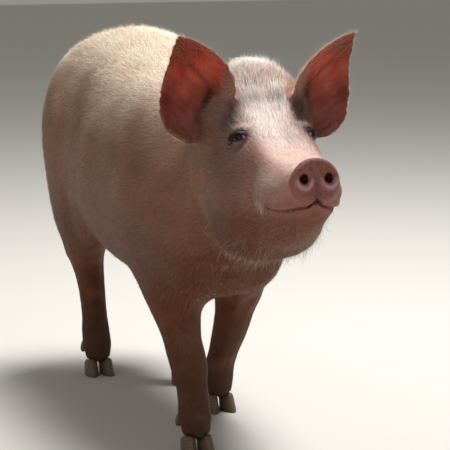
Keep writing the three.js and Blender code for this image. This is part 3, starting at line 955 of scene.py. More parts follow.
@dataclass
class Sculptor:
    """Cuts the lids, folds, nostrils and mouth into the skin.

    The lines and spots are in millimetres: the mouth's and cheek's are back and up in the head's
    axes, and the others are in the trunk's.
    """

    skin: Skin
    mouth = [(14, -38), (30, -41), (48, -41), (60, -38), (68, -33)]
    cheek = [(250, 55), (262, 25), (274, -5), (278, -40), (270, -75), (252, -106)]
    neck = [(482, 102, 567), (462, 105, 537), (430, 100, 505), (408, 96, 470)]
    flank = [(-234, 146, 392), (-246, 138, 350), (-257, 133, 324), (-256, 118, 300),
             (-264, 92, 277)]
    brisket = [(384, -13, 342), (367, -16, 323), (344, -17, 299), (322, -18, 281)]
    elbow = (296, 70, 250)
    teats = [(f, 52 + 6 * math.sin(f / 70)) for f in (128, 70, 12, -46, -104, -160, -214)]
    # Whisker pads, the hollows behind and above them, the cheek and the lower lip.
    muzzle = (
        (6.5, (60, 46, -12), (25, 28, 20)),
        (3.0, (76, 44, 12), (22, 24, 18)),
        (-5.0, (114, 56, -4), (16, 30, 38)),
        (-3.0, (104, 30, 44), (30, 16, 16)),
        (2.0, (170, 62, -30), (40, 30, 34)),
        (4.5, (20, 0, -52), (14, 26, 9)),
    )
    # Rows of a line, how far back and up of it a fold lies, and the fold's height and width.
    body_folds = (
        (neck, (0, 0, 0), -2.4, 15),
        (neck, (-24, 0, 0), 1.8, 16),
        (flank, (0, 0, 0), -3.6, 17),
        (flank, (-34, 0, -4), 3.2, 24),
    )

    def run(self) -> None:
        """Moves the vertices through each step in turn."""
        self.axes = self.skin.axes
        mesh = self.skin.thing.data
        for step in (
            self.coat_depth,
            self.shape_muzzle,
            self.cut_mouth,
            self.shape_disc,
            self.fold_face,
            self.fold_body,
            self.ridge_ears,
        ):
            set_coords(mesh, step(coords(mesh), normals(mesh)))
        share = 0.5 * np.clip(self.skin.share["ears"] * 1.4 - 0.2, 0, 1)
        set_coords(mesh, soften(coords(mesh), edges(mesh), share, 9))
        for name in EYES:
            set_coords(mesh, self.shape_lids(coords(mesh), Socket(name, self.axes)))

    def coat_depth(self, places: Array, out: Array) -> Array:
        """Moves the skin in by the depth of the coat over it."""
        s = self.skin.share
        depth = 3.0 * (s["trunk"] + s["neck"]) + 1.6 * s["head"] + 1.4 * s["legs"]
        depth = depth - 1.4 * s["snout"] + 1.1 * s["ears"] + 0.4
        depth *= rise(self.axes.trunk(places)[:, 2], 30, 90)
        return places - out * depth[:, None] * MM

    def shape_muzzle(self, places: Array, out: Array) -> Array:
        """Swells the whisker pads and the lower lip, and hollows the face behind and above them."""
        swell = spots(both_sides(self.axes.head(places)), self.muzzle)
        return places + out * swell[:, None] * MM

    @classmethod
    def mouth_level(cls, back: Array, left: Array) -> Array:
        """How high the line between the lips runs, peaked under the middle of the disc."""
        level = np.interp(back, *np.array(cls.mouth).T)
        return level + 9.5 * mound(left, DISC.left, 9) * rise(back, 44, 24)

    @classmethod
    def mouth_distance(cls, head: Array) -> Array:
        """How far each point is from the line between the lips."""
        back, left, up = head.T
        level = cls.mouth_level(back, left)
        flat = np.stack([back, up - level + np.interp(back, *np.array(cls.mouth).T)], 1)
        off = line_distance(flat, cls.mouth)
        return np.where(back < cls.mouth[0][0], np.abs(up - level), off)

    def cut_mouth(self, places: Array, out: Array) -> Array:
        """Draws the line between the lips as a groove, the upper lip hanging a little over it."""
        head = self.axes.head(places)
        back, left, up = head.T
        above = up - self.mouth_level(back, left)
        here = rise(back, 78, 62) * rise(back, 12, 20)
        groove = -(3.2 + 2.0 * rise(back, 40, 24)) * mound(self.mouth_distance(head), 0, 1.8)
        groove -= 3.0 * spot(both_sides(head), (67, 60, -33), (7, 14, 5))
        lip = 2.6 * mound(above, 6.5, 4.5) * here + 0.6 * mound(above, -6, 4) * here
        return places + out * (groove + lip)[:, None] * MM

    def shape_disc(self, places: Array, out: Array) -> Array:
        """Gives the disc its two lobes, a groove down the middle, and raised nostril rims."""
        head = self.axes.head(places)
        back = head[:, 0]
        left, up = DISC.local(head)
        side = np.abs(left)
        ring = DISC.nostril(head)
        rim = 3.0 * mound(ring, 1.75, 0.45) * (0.25 + 0.75 * rise(up, 14, -6))
        groove = -3.0 * mound(left, 0, 3.4) * rise(up, 4, -18)
        lobes = 3.0 * mound(side, 19, 14) * mound(up, -20, 13)
        dish = -1.6 * mound(side, 0, 11) * mound(up, 6, 14)
        edge = -3.4 * rise(DISC.edge(head), 0.80, 1.06)
        ahead = (rim + groove + lobes + dish + edge) * rise(back, 13, 6)
        notch = 5.0 * mound(left, 0, 6.5) * rise(up, -20, -34) * rise(back, 20, 12)
        heart = 3.0 * rise(side, 22, 40) * rise(up, -8, -30) * rise(back, 22, 12)
        away_left = side - DISC.nostril_left
        away_up = up - DISC.nostril_up
        wide = 1.9 * mound(ring, 1.05, 0.5) * rise(back, 16, 6)
        wide /= np.maximum(np.hypot(away_left, away_up), 1)
        inward = np.sign(left) * (away_left * wide - heart)
        return self.axes.from_head(head + np.stack([-ahead, inward, notch + away_up * wide], 1))

    def fold_face(self, places: Array, out: Array) -> Array:
        """Adds the folds behind the disc, round the cheek and on the brow."""
        head = self.axes.head(places)
        back, left, up = head.T
        lean = 0.10 * up
        moved = sum(-d * mound(back, b + lean, 2.2) for b, d in ((21, 1.7), (31, 0.8)))
        moved += 1.0 * mound(back, 26 + lean, 2.8)
        moved *= rise(up, -34, -18) * rise(up, 36, 8) * np.clip(self.skin.share["head"], 0, 1)
        off = line_distance(np.stack([back, up], 1), self.cheek)
        level = np.array(self.cheek[::-1])
        front_of = np.interp(up, level[:, 1], level[:, 0]) - back
        side = rise(np.abs(left), 25, 50)
        moved += -1.7 * mound(off, 0, 14) * side
        moved += 2.4 * mound(front_of, 22, 16) * rise(up, 50, -10) * rise(up, -125, -90) * side
        for place in (182, 194, 208):
            for way in (-1, 1):
                here = spot(head, (place + 20, way * 74, -58), (40, 40, 30))
                moved -= 0.9 * mound(back + 0.35 * up, place, 3.2) * here
        return places + out * moved[:, None] * MM

    def fold_body(self, places: Array, out: Array) -> Array:
        """Sinks the folds of neck, breast, elbows and flanks, and adds the teats."""
        trunk = self.axes.trunk(places)
        moved = -3.5 * mound(line_distance(trunk, self.brisket), 0, 7)
        trunk = both_sides(trunk)
        for line, shift, height, width in self.body_folds:
            moved += height * mound(line_distance(trunk + np.array(shift), line), 0, width)
        away = trunk - np.array(self.elbow)
        far = np.linalg.norm(away, axis=1)
        inner_top = rise(away[:, 2], -6, 14) * rise(away[:, 0], -18, 4)
        moved -= sum(1.7 * mound(far, reach, 2.6) for reach in (34, 43, 52)) * inner_top
        moved += 2.2 * spot(trunk, (318, 62, 184), (22, 22, 20))
        below = rise(-out[:, 2], 0.3, 0.7) * rise(trunk[:, 2], 200, 215)
        for forward, left in self.teats:
            off = np.hypot(trunk[:, 0] - forward, trunk[:, 1] - left)
            moved += (8.0 * mound(off, 0, 4.2) + 2.0 * mound(off, 0, 10)) * below
        return places + out * moved[:, None] * MM

    def ridge_ears(self, places: Array, out: Array) -> Array:
        """Raises the folds that run up the hollow of each ear, and sinks the canal."""
        head = self.axes.head(places)
        along, across = Ear.grid(head)
        hollow = rise(Ear.facing(self.axes, head, out), 0.0, 0.4)
        hollow *= np.clip(self.skin.share["ears"], 0, 1)
        fan = across + 0.22 * (along - 0.3)
        moved = sum(1.7 * mound(fan, place, 0.045) for place in (0.30, 0.45, 0.60))
        moved *= rise(along, 0.04, 0.12) * rise(along, 0.62, 0.35)
        grid = np.stack([along, across], 1)
        moved -= 1.6 * mound(line_distance(grid, Ear.canal), 0, 0.07)
        moved -= 1.0 * mound(line_distance(grid, Ear.fold), 0, 0.03)
        moved += 2.5 * mound(across, 1.0, 0.10) + 2.0 * mound(across, 0.02, 0.10)
        return places + out * (moved * hollow)[:, None] * MM

    def shape_lids(self, places: Array, socket: Socket) -> Array:
        """Wraps the skin over an eyeball, with an almond opening, lids and folds round it."""
        local = socket.local(places)
        near = (np.hypot(local[:, 0], local[:, 1]) < 40) & (local[:, 2] > -26)
        local[near, 2] = socket.wrap(local[near])
        moved = places.copy()
        moved[near] = socket.world(local[near])
        return moved


# ---------------------------------------------------------------- markings


def painted(base: str, layers: list[tuple[Array, str]]) -> Array:
    """Lays colours over one another.

    Args:
        base: The colour under them all.
        layers: Rows of each vertex's share of a colour, 0 to 1, and the colour.

    Returns:
        Each vertex's linear colour.
    """
    colour = np.tile(linear(base), (len(layers[0][0]), 1))
    for share, tint in layers:
        colour = mix(colour, linear(tint), np.clip(share, 0, 1))
    return colour


@dataclass
class Markings:
    """The colours of the skin and of the coat over it, from one set of places on the body."""

    skin: Skin
    # Rows of strength, place and reach in the head's axes, on both sides.
    patches = (
        (1.2, (209, 58, 116), (17, 15, 21)),
        (1.05, (212, 33, 135), (16, 32, 13)),
        (1.1, (199, 62, 98), (16, 13, 20)),
    )
    ear_patch = (0.7, (248, 92, 106), (22, 20, 22))  # at the root of the left ear only

    def __post_init__(self) -> None:
        """Reads the finished skin's vertices in the trunk's axes and in the head's."""
        mesh = self.skin.thing.data
        self.places = coords(mesh)
        self.mm = self.places / MM
        self.out = normals(mesh)
        self.axes = self.skin.axes
        self.share = self.skin.share
        self.legs = np.clip(self.share["legs"], 0, 1)
        self.ears = np.clip(self.share["ears"], 0, 1)
        self.forward, self.left, self.up = self.axes.trunk(self.places).T
        self.head = self.axes.head(self.places)
        self.sided = both_sides(self.head)
        self.facing = Ear.facing(self.axes, self.head, self.out)
        self.along, self.across = Ear.grid(self.head)
        self.past_fur = self.across - Ear.margin(self.along)
        self.grid = np.stack([self.along, self.across], 1)
        self.sockets = [Socket(name, self.axes) for name in EYES]

    def near_eyes(self, reach: float) -> Array:
        """How near each vertex is to an eye, 1 at its middle."""
        away = [np.linalg.norm(self.places - middle_of(name), axis=1) for name in EYES]
        return np.exp(-((np.minimum(*away) / MM / reach) ** 2))

    def zones(self) -> dict[str, Array]:
        """The regions that skin and coat are both coloured by, each 0 to 1. Several are painted
        light and shade: lighter tops, darker flanks, cheeks, chin and low parts, and a lit bridge
        on the snout.
        """
        back, side, up = self.sided.T
        upward = self.out[:, 2]
        face = rise(back, 320, 205)
        body = 1 - face
        soft = waves(self.mm, 70, 5) * 0.12
        ragged = 1 + 0.5 * waves(self.mm, 17, 41)
        patch = spots(self.sided, self.patches) + spots(self.head, (self.ear_patch,))
        return {
            "lit": rise(upward + soft, 0.07, 0.76),
            # painted shade with some real dirt: faces turned to the side are painted darker and
            # browner
            "flank": rise(upward + soft, 0.55, -0.05) * body,
            # painted shade with some dirt: the lower body grows darker and browner towards the
            # bottom
            "low": rise(self.up + 60 * soft, 480, 290) * body,
            # painted shade with mud: the lower legs are painted darker
            "shank_mud_and_shade": rise(self.up, 250, 70),
            "belly": rise(upward, -0.3, -0.85) * body * rise(self.up, 180, 300),
            "face": face,
            "eyes": self.near_eyes(52),
            "patch": np.clip(patch * ragged, 0, 1),
            "pad": spot(self.sided, (66, 46, 4), (36, 28, 24)),
            "lips": spot(self.sided, (40, 46, -27), (24, 22, 10)),
            "brow": spot(self.sided, (172, 20, 104), (46, 38, 30)),
            # painted light: the upward top of the snout and forehead is painted near white, as lit
            # from above
            "lit_bridge": rise(back, 345, 245) * rise(upward, 0.36, 0.80) * rise(side, 54, 24),
            "muzzle": rise(back, 165, 90) * rise(back, 10, 24),
            # painted shade under the jaw, over its own orange-brown
            "chin": face * rise(up, -15, -62),
            # painted shade with browner hair: the sides of the face turned from the light are
            # darker
            "cheek": face * rise(side, 40, 60) * rise(upward, 0.5, 0.1),
            "hollow": rise(self.facing, -0.05, 0.45),
        }

    def skin_colour(self) -> Array:
        """The skin's colour at each vertex."""
        z = self.zones()
        layers = [*self.body_layers(z), *self.face_layers(z), *self.eye_layers()]
        layers += [*self.snout_layers(z), *self.ear_layers(z)]
        return painted("#c08a73", layers)

    def body_layers(self, z: dict[str, Array]) -> list[tuple[Array, str]]:
        """The skin's colours on the trunk and the legs."""
        blotch = waves(self.mm, 95, 3) + 0.6 * waves(self.mm, 38, 4)
        place = np.stack([self.forward, np.abs(self.left), self.up], 1)
        return [
            (z["lit"] * 0.8, "#e6c0a9"),
            # painted shade with some real dirt on the flanks
            (z["flank"] * 0.85, "#87543e"),
            (rise(blotch, 0.25, 1.1) * z["flank"] * 0.7, "#96503e"),
            (rise(blotch, -0.4, -1.1) * z["flank"] * 0.5, "#877067"),
            # painted shade with some dirt, darker towards the bottom
            (z["low"] * 0.85, "#5f3216"),
            # painted shade with mud on the lower legs
            (z["shank_mud_and_shade"] * 0.85, "#4b3122"),
            (z["belly"] * 0.5, "#9a6a50"),
            (rise(waves(self.mm, 26, 6), 0.2, 1.2) * self.legs * 0.5, "#7d4a3c"),
            (rise(waves(self.mm, 9, 7), 0.4, 1.3) * self.legs * 0.45, "#43281c"),
            (spot(place, (322, 116, 440), (70, 60, 90)) * 0.5, "#a85c4a"),
            # painted shade: darker bands along the folds of the neck and the flank
            (mound(line_distance(place, Sculptor.neck), 0, 14) * 0.45, "#8e4b3d"),
            (mound(line_distance(place, Sculptor.flank), 0, 17) * 0.35, "#6e4534"),
        ]

    @staticmethod
    def face_layers(z: dict[str, Array]) -> list[tuple[Array, str]]:
        """The skin's colours on the head."""
        sides = z["face"] * z["muzzle"] * (1 - z["lit_bridge"])
        return [
            (z["face"] * 0.8, "#a8786b"),
            # painted light on the upward top of the snout
            (z["lit_bridge"] * 0.95, "#f1e2db"),
            (z["lit_bridge"] * z["muzzle"] * 0.6, "#c9a698"),
            (sides * 0.4, "#b8958b"),
            # painted shade on the sides of the face, over browner hair
            (z["cheek"] * 0.55, "#855a50"),
            # painted shade under the jaw, over its own orange-brown
            (z["chin"] * 0.85, "#733819"),
            (z["pad"] * 0.85 * z["face"], "#d6b9b3"),
            (z["lips"] * 0.9 * z["face"], "#a5756e"),
            (z["eyes"] * 0.85 * z["face"], "#7f5a64"),
            (z["patch"] * 0.85, "#5d5854"),
        ]

    def eye_layers(self) -> list[tuple[Array, str]]:
        """The dark lashes and rims of the eyes, the painted shade in the groove off each outer
        corner, and the skin behind them.
        """
        layers = []
        for socket in self.sockets:
            x, y, depth = socket.local(self.places).T
            out_by = socket.beyond(x, y)
            close = (depth > -6) & (np.hypot(x, y) < 34)
            fold = rise(out_by, 12.5, 8.5) * rise(y, -3, 2) * rise(x, 20, 12)
            layers += [
                (fold * close * 0.95, "#251814"),
                (mound(out_by, 0.3, 1.0) * close * 0.9, "#2a1916"),
                # painted shade in the groove off the outer corner
                (mound(socket.off_tail(x, y), 0, 5.2) * close * 0.95, "#211512"),
                ((out_by < -0.2) * close, "#5b3230"),
            ]
        return layers

    def snout_layers(self, z: dict[str, Array]) -> list[tuple[Array, str]]:
        """The skin's colours on the snout disc and the lips, with painted shade in the nostrils and
        the mouth line and a painted highlight under the nostril rims.
        """
        back, left, _ = self.head.T
        high = DISC.local(self.head)[1]
        ring = DISC.nostril(self.head)
        disc = rise(back, 17, 10) * rise(DISC.edge(self.head), 1.12, 1.02)
        spotted = rise(waves(self.mm, 5, 31), 0.4, 1.1) * rise(high, -14, 6)
        off = Sculptor.mouth_distance(self.head)
        lip = rise(back, 76, 68) * z["face"]
        return [
            (disc, "#97625c"),
            (disc * spotted * 0.5, "#5f3a31"),
            (disc * rise(waves(self.mm, 2.4, 33), 0.5, 1.2) * 0.45, "#6b4640"),
            # painted highlight: pale lilac on the lower rims of the nostrils
            (disc * mound(ring, 1.75, 0.42) * rise(high, 10, -4) * 0.85, "#cfa5ae"),
            (disc * mound(left, DISC.left, 5) * rise(high, 0, -20) * 0.6, "#8f5750"),
            # painted shade: the insides of the nostrils are painted near black
            (rise(ring, 1.12, 0.85) * rise(back, 30, 20), "#34120f"),
            (mound(off, 5, 6) * lip * 0.4, "#9c645c"),
            # painted shade: the line between the lips, its notch and its corners are painted dark
            (mound(off, 0, 1.6) * lip * 0.8, "#4f281f"),
            (mound(off, 0.4, 2.2) * lip * rise(np.abs(left), 16, 9), "#2a100d"),
            (spot(self.sided, (68, 60, -34), (8, 16, 5)) * 0.8, "#3f1d18"),
        ]

    def ear_layers(self, z: dict[str, Array]) -> list[tuple[Array, str]]:
        """The skin's colours on the ears: pink behind, and clouded, veined red in the hollow, the
        red partly painted light, the glow of light shining through the ear.
        """
        along, across, grid = self.along, self.across, self.grid
        inner = self.ears * z["hollow"]
        furry = rise(self.past_fur, 0.04, -0.04)
        # painted light: two spots where light shines through the ear most
        backlight_glow = [spot(grid, (0.68, 0.40), (0.10, 0.17)), spot(grid, (0.60, 0.13), (0.12, 0.10))]
        layers = [
            (self.ears, "#c9937c"),
            # partly painted light: the red of the hollow, strongest up the ear, is light shining
            # through the ear
            (inner, "#96483c"),
            (inner * rise(along, 0.36, 0.62), "#b0442d"),
            (inner * rise(along, 0.46, 0.15) * 0.9, "#94645c"),
            (inner * mound(across, 0.92, 0.16) * rise(along, 0.75, 0.5) * 0.6, "#84443a"),
            (inner * np.maximum(*backlight_glow) * 0.8, "#cf4a2b"),
        ]
        sheet = np.stack([along * Ear.height, across * 120, along * 0], 1)
        for size, share in ((48, 0.6), (21, 0.5), (9, 0.3)):
            cloud = waves(sheet, size, size)
            layers.append((inner * rise(cloud, 0.0, 1.0) * share, "#763329"))
            layers.append((inner * rise(cloud, 0.0, -1.1) * share * 0.7, "#c07263"))
        veins = np.abs(waves(sheet * np.array([0.45, 1, 1]), 22, 77) + 0.3 * waves(sheet, 30, 78))
        canal, fold = line_distance(grid, Ear.canal), line_distance(grid, Ear.fold)
        specks = rise(waves(self.mm, 4, 11), 1.1, 1.5) * (1 - furry)
        return layers + [
            (inner * rise(veins, 0.10, 0.0) * 0.4, "#70261e"),
            # painted shade: the canal is painted near black and the fold darker
            (inner * mound(canal, 0, 0.11) * 0.65, "#4a211b"),
            (inner * mound(canal, 0, 0.045) * 0.95, "#1c0c0a"),
            (inner * mound(fold, 0, 0.022) * 0.7, "#571c14"),
            (self.ears * furry * 0.85, "#b98372"),
            (self.ears * mound(across, 1.03, 0.03) * 0.8, "#e3c2ae"),
            (inner * specks * 0.35, "#3d1813"),
        ]

    def hair_colour(self) -> Array:
        """The colour of the coat over each vertex."""
        z = self.zones()
        sides = z["face"] * z["muzzle"] * (1 - z["lit_bridge"])
        layers = [
            (z["lit"], "#fbecd7"),
            # painted shade with some real dirt on the flanks
            (z["flank"] * 0.85, "#936947"),
            # painted shade with some dirt, darker towards the bottom
            (z["low"] * 0.85, "#6a401c"),
            # painted shade with mud on the lower legs
            (z["shank_mud_and_shade"] * 0.8, "#4f301c"),
            (z["face"] * 0.7, "#a5826c"),
            # painted shade on the sides of the face, over browner hair
            (z["cheek"] * 0.6, "#7d5c4c"),
            # painted light on the upward top of the snout
            (z["lit_bridge"] * 0.95, "#fffaf2"),
            (z["lit_bridge"] * z["muzzle"] * 0.7, "#dfcdc0"),
            (sides * 0.45, "#cbb3a7"),
            (z["brow"] * 0.9, "#fbf1e2"),
            # painted shade under the jaw, over its own orange-brown
            (z["chin"] * 0.85, "#72431f"),
            (z["pad"] * 0.9, "#f6eee8"),
            (self.ears * 0.7, "#d9b7a0"),
            (z["patch"] * 0.95, "#77706b"),
        ]
        return painted("#d8b795", layers)

    def bare(self) -> Array:
        """Where little or no hair lies: disc, lips, lids, inside of the ears, lower legs."""
        s = self.share
        back = self.head[:, 0]
        parts = [
            rise(back, 36, 18) * s["head"],
            np.clip(self.zones()["lips"] * 1.3, 0, 0.85),
            0.8 * self.legs * rise(self.up, 350, 240),
            s["ears"] * rise(self.facing, 0.0, 0.5) * rise(self.past_fur, -0.05, 0.05),
            mound(Sculptor.mouth_distance(self.head), 2, 5) * rise(back, 78, 66) * s["head"],
        ]
        for socket in self.sockets:
            x, y, depth = socket.local(self.places).T
            close = (depth > -8) & (np.hypot(x, y) < 34)
            lids = rise(socket.beyond(x, y), 8.5, 6.0)
            parts.append(np.maximum(lids, rise(socket.off_tail(x, y), 5, 3)) * close)
        return np.clip(np.max(parts, axis=0), 0, 1)

    def lie(self) -> Array:
        """Which way the coat lies at each vertex."""
        n = self.out
        count = len(n)
        zero = np.zeros(count)
        rump = rise(self.forward, -330, -430)
        down = 0.42 * np.clip(1 - np.abs(n[:, 2]), 0, 1) + 1.6 * rump
        down += 0.8 * rise(-n[:, 1], 0.4, 0.9)
        lie = np.stack([zero, zero + 1, -down], 1)
        face = np.tile(self.axes.head_ways((1.0, 0.0, 0.05)), (count, 1))
        face[:, 2] -= 0.45 * rise(self.head[:, 2], 60, -60)
        lie = mix(lie, face, rise(self.head[:, 0], 320, 200) * (self.share["legs"] < 0.5))
        lie = mix(lie, np.array([[0.0, 0.25, -1.0]]), self.legs)
        side = np.sign(self.head[:, 1])
        tip = np.stack([zero - 0.33, 0.44 * side, zero + 0.83], 1)
        over = rise(self.past_fur, 0.08, -0.02) * rise(self.along, 0.7, 0.5) * (self.facing > 0)
        tip = mix(tip, np.stack([zero + 0.5, 0.75 * side, zero - 0.3], 1), over)
        lie = mix(lie, self.axes.head_ways(tip), self.ears)
        lie = mix(lie, np.array([[0.0, 0.6, -0.8]]), np.clip(self.share["tail"], 0, 1))
        lie -= (lie * n).sum(1)[:, None] * n
        return unit(lie)

    def comb(self) -> Array:
        """Metres along the coat's lie, and across it."""
        s = self.share
        slant = 0.33
        girth = np.arctan2(np.abs(self.left), self.up - GIRTH_MIDDLE) * 180
        along = -self.forward * math.cos(slant) + girth * math.sin(slant)
        across = self.forward * math.sin(slant) + girth * math.cos(slant) + 900 * np.sign(self.left)
        back, left, up = self.head.T
        limb_turn = np.arctan2(self.out[:, 0], self.out[:, 1]) * 38
        for here, lengthwise, crosswise in (
            (s["head"] > 0.5, back, np.arctan2(left, up + 20) * 80),
            ((s["legs"] > 0.5) | (s["tail"] > 0.5), -self.up, limb_turn),
            (s["ears"] > 0.5, up, np.abs(left) * 0.8 + back * 0.5),
        ):
            along = np.where(here, lengthwise, along)
            across = np.where(here, crosswise, across)
        return np.stack([along, across, np.zeros_like(up)], 1) * MM

    def unwrap(self) -> Array:
        """Where each vertex lies on one flat sheet, each part of the body in its own field."""
        turn = np.arctan2(self.left, self.up - GIRTH_MIDDLE) / (2 * math.pi) + 0.5
        flat = np.stack([0.01 + 0.96 * ((self.forward + 470) / 1000), 0.01 + 0.46 * turn], 1)
        back, left, up = self.head.T
        spin = np.arctan2(left, up + 20) / (2 * math.pi) + 0.5
        hollow = self.facing > 0
        field_of = {
            "head": (0.01, 0.50, np.clip(back / 320, 0, 1) * 0.46, spin * 0.28),
            "ear_left": (0.50, 0.50, 0.12 * hollow + left / 1800, up / 1100),
            "ear_right": (0.75, 0.50, 0.12 * hollow - left / 1800, up / 1100),
            "tail": (0.50, 0.80, (self.left + 60) / 900, (self.up - GIRTH_MIDDLE) / 900),
        }
        bend = np.arctan2(self.out[:, 0], self.out[:, 1]) / (2 * math.pi) + 0.5
        down_leg = np.clip(self.up / 420, 0, 1) * 0.19
        for number, leg in enumerate(LEGS):
            field_of[leg] = (0.01 + 0.12 * number, 0.80, bend * 0.11, down_leg)
        for part, (u0, v0, du, dv) in field_of.items():
            here = self.share[part] > 0.5
            flat[here] = np.stack([u0 + du, v0 + dv], 1)[here]
        return flat

    def store(self) -> None:
        """Puts the skin's colour, bareness and comb on its mesh."""
        mesh = self.skin.thing.data
        put(mesh, "tint", "FLOAT_COLOR", self.skin_colour())
        put(mesh, "bare", "FLOAT", self.bare())
        put(mesh, "comb", "FLOAT_VECTOR", self.comb())


# ---------------------------------------------------------------- coat


@dataclass(frozen=True)
class Growth:
    """How one kind of hair grows, in millimetres and degrees."""

    count: int
    length: float
    width: float
    lift: float
    spread: float = 9.0  # degrees that a hair strays from the lie
    uneven: float = 0.22  # share by which lengths differ
    segments: int = 1
    curl: float = 0.0  # degrees that a hair bends back down towards the body by its tip
    pale: float = 0.0  # share of its colour that is the pale straw of long hair
    own_light: bool = False  # shaded by its own form rather than by the skin's under it


@dataclass
class Strands:
    """Many hairs of one kind: a row for each, and the faces that they all have."""

    verts: Array
    colours: Array
    uvs: Array
    outs: Array
    faces: Array

    def part(self, start: int, end: int) -> "Strands":
        """Some of the hairs."""
        cut = (each[start:end] for each in (self.verts, self.colours, self.uvs, self.outs))
        return Strands(*cut, self.faces)


@dataclass
class Hairs:
    """One kind of hair, spread over the skin, as solid mesh pieces."""

    name: str
    growth: Growth
    skin: Skin
    maps: dict
    density: Array
    finish: bpy.types.Material
    seed: int
    most_faces: int = 190000
    quick_share: int = 8
    rooted: float = 0.9  # mm that a root lies under the skin
    ring = np.array([(-0.5, 0.0), (0.5, 0.0), (0.0, 0.62)])  # a hair's cut, in its widths
    patch: float = 0.003  # a hair's side on the flat sheet

    def build(self) -> list[bpy.types.Object]:
        """Makes the pieces and returns them."""
        count = self.growth.count // 1
        rng = np.random.default_rng(self.seed)
        made = self.shape(self.scatter(count, rng), rng)
        most = self.most_faces // len(made.faces)
        pieces = []
        for number, start in enumerate(range(0, count, most)):
            name = self.name if count <= most else f"{self.name}_{number + 1}"
            pieces.append(self.piece(name, made.part(start, start + most)))
        log.info("%s: %d hairs, %d faces", self.name, count, count * len(made.faces))
        return pieces

    def scatter(self, count: int, rng: np.random.Generator) -> dict[str, Array]:
        """Picks roots on the skin, and reads the maps there."""
        tris = self.maps["tris"]
        total = np.cumsum(self.maps["areas"] * self.density[tris].mean(1))
        steps = (np.arange(count) + rng.random(count)) / count * total[-1]
        chosen = np.minimum(np.searchsorted(total, steps), len(tris) - 1)
        rng.shuffle(chosen)
        a, b = rng.random((2, count))
        flip = a + b > 1
        a[flip], b[flip] = 1 - a[flip], 1 - b[flip]
        weights = np.stack([1 - a - b, a, b], 1)[:, :, None]
        corners = tris[chosen]
        at = {
            key: (self.maps[key][corners] * weights).sum(1)
            for key in ("root", "out", "lie", "tint", "scale", "uv")
        }
        at["out"], at["lie"] = unit(at["out"]), unit(at["lie"])
        at["scale"] = at["scale"][:, 0]
        # A hair on a face that spans two fields of the sheet takes its place from one corner.
        uv = self.maps["uv"][corners]
        split = np.ptp(uv, axis=1).max(1) > 0.05
        at["uv"][split] = uv[split, 0]
        return at

    def shape(self, at: dict[str, Array], rng: np.random.Generator) -> Strands:
        """Makes each hair's vertices, faces, colours, patch of the sheet, and shading normals."""
        g = self.growth
        root, out = at["root"], at["out"]
        count = len(root)
        stray = np.radians(rng.normal(0, g.spread, count))
        clump = waves(root / MM, 16, self.seed) * math.radians(7)
        turn = (stray + clump)[:, None]
        way = at["lie"] * np.cos(turn) + np.cross(out, at["lie"]) * np.sin(turn)
        side = unit(np.cross(out, way))
        size = at["scale"] * np.clip(1 + rng.normal(0, g.uneven, count), 0.35, 1.7)
        length = g.length * size * MM
        width = g.width * np.sqrt(at["scale"]) * rng.uniform(0.7, 1.3, count) * MM
        lift = np.radians(g.lift * rng.uniform(0.6, 1.4, count))
        place = root - out * (self.rooted * MM)
        steps = g.segments
        levels = []
        for step in range(steps):
            thick = (width * (1 - 0.35 * step / steps))[:, None, None]
            level = place[:, None] + self.ring[None, :, :1] * side[:, None] * thick
            levels.append(level + self.ring[None, :, 1:] * out[:, None] * thick)
            angle = (lift - math.radians(g.curl) * (step + 1) / steps)[:, None]
            ahead = way * np.cos(angle) + out * np.sin(angle)
            place = place + ahead * (length / steps)[:, None]
        verts = np.concatenate([*levels, place[:, None]], 1)
        corners = verts.shape[1]
        uneven = rng.normal(0, 0.13, count) + 0.10 * waves(root / MM, 30, 8)
        tint = mix(at["tint"], linear("#f6e3cf"), np.full(count, g.pale))
        tint = np.clip(tint * np.clip(1 + uneven, 0.5, 1.3)[:, None], 0, 1)
        root_dark = np.array([0.78] * 3 + [1.0] * (corners - 3))
        return Strands(
            verts,
            tint[:, None] * root_dark[None, :, None],
            at["uv"][:, None] + self.flat_hair() * self.patch,
            np.repeat(unit(out + 0.25 * way)[:, None], corners, 1),
            self.hair_faces(),
        )

    def hair_faces(self) -> Array:
        """One hair's triangles: a base, three sides for each length, and a pointed end."""
        last = self.growth.segments - 1
        faces = [(0, 2, 1)]
        for step in range(last + 1):
            for k in range(3):
                a, b = 3 * step + k, 3 * step + (k + 1) % 3
                sides = [(a, b, b + 3), (a, b + 3, a + 3)]
                faces += [(a, b, 3 * step + 3)] if step == last else sides
        return np.array(faces)

    def flat_hair(self) -> Array:
        """One hair's corners on its patch of the sheet, from -0.5 to about 0.5."""
        steps = self.growth.segments
        flat = []
        for share in np.arange(steps) / steps:
            for k, (across, _) in enumerate(self.ring):
                flat.append((across * (1 - share), share - 0.5 + (0.12 if k == 2 else 0)))
        return np.array([*flat, (0, 0.5)])

    def piece(self, name: str, made: Strands) -> bpy.types.Object:
        """Makes one joined mesh of hairs."""
        hairs, corners = made.verts.shape[:2]
        index = (made.faces[None] + (np.arange(hairs) * corners)[:, None, None]).reshape(-1, 3)
        mesh = bpy.data.meshes.new(name)
        mesh.vertices.add(hairs * corners)
        mesh.vertices.foreach_set("co", made.verts.ravel())
        mesh.loops.add(index.size)
        mesh.loops.foreach_set("vertex_index", index.ravel())
        mesh.polygons.add(len(index))
        mesh.polygons.foreach_set("loop_start", np.arange(0, index.size, 3))
        mesh.update(calc_edges=True)
        put(mesh, "tint", "FLOAT_COLOR", made.colours.reshape(-1, 3))
        layer = mesh.uv_layers.new(name="OFBake")
        layer.data.foreach_set("uv", made.uvs.reshape(-1, 2)[index.ravel()].ravel())
        shade_smooth(mesh)
        if not self.growth.own_light:
            mesh.normals_split_custom_set_from_vertices(made.outs.reshape(-1, 3))
        mesh.materials.append(self.finish)
        return new_object(name, mesh)


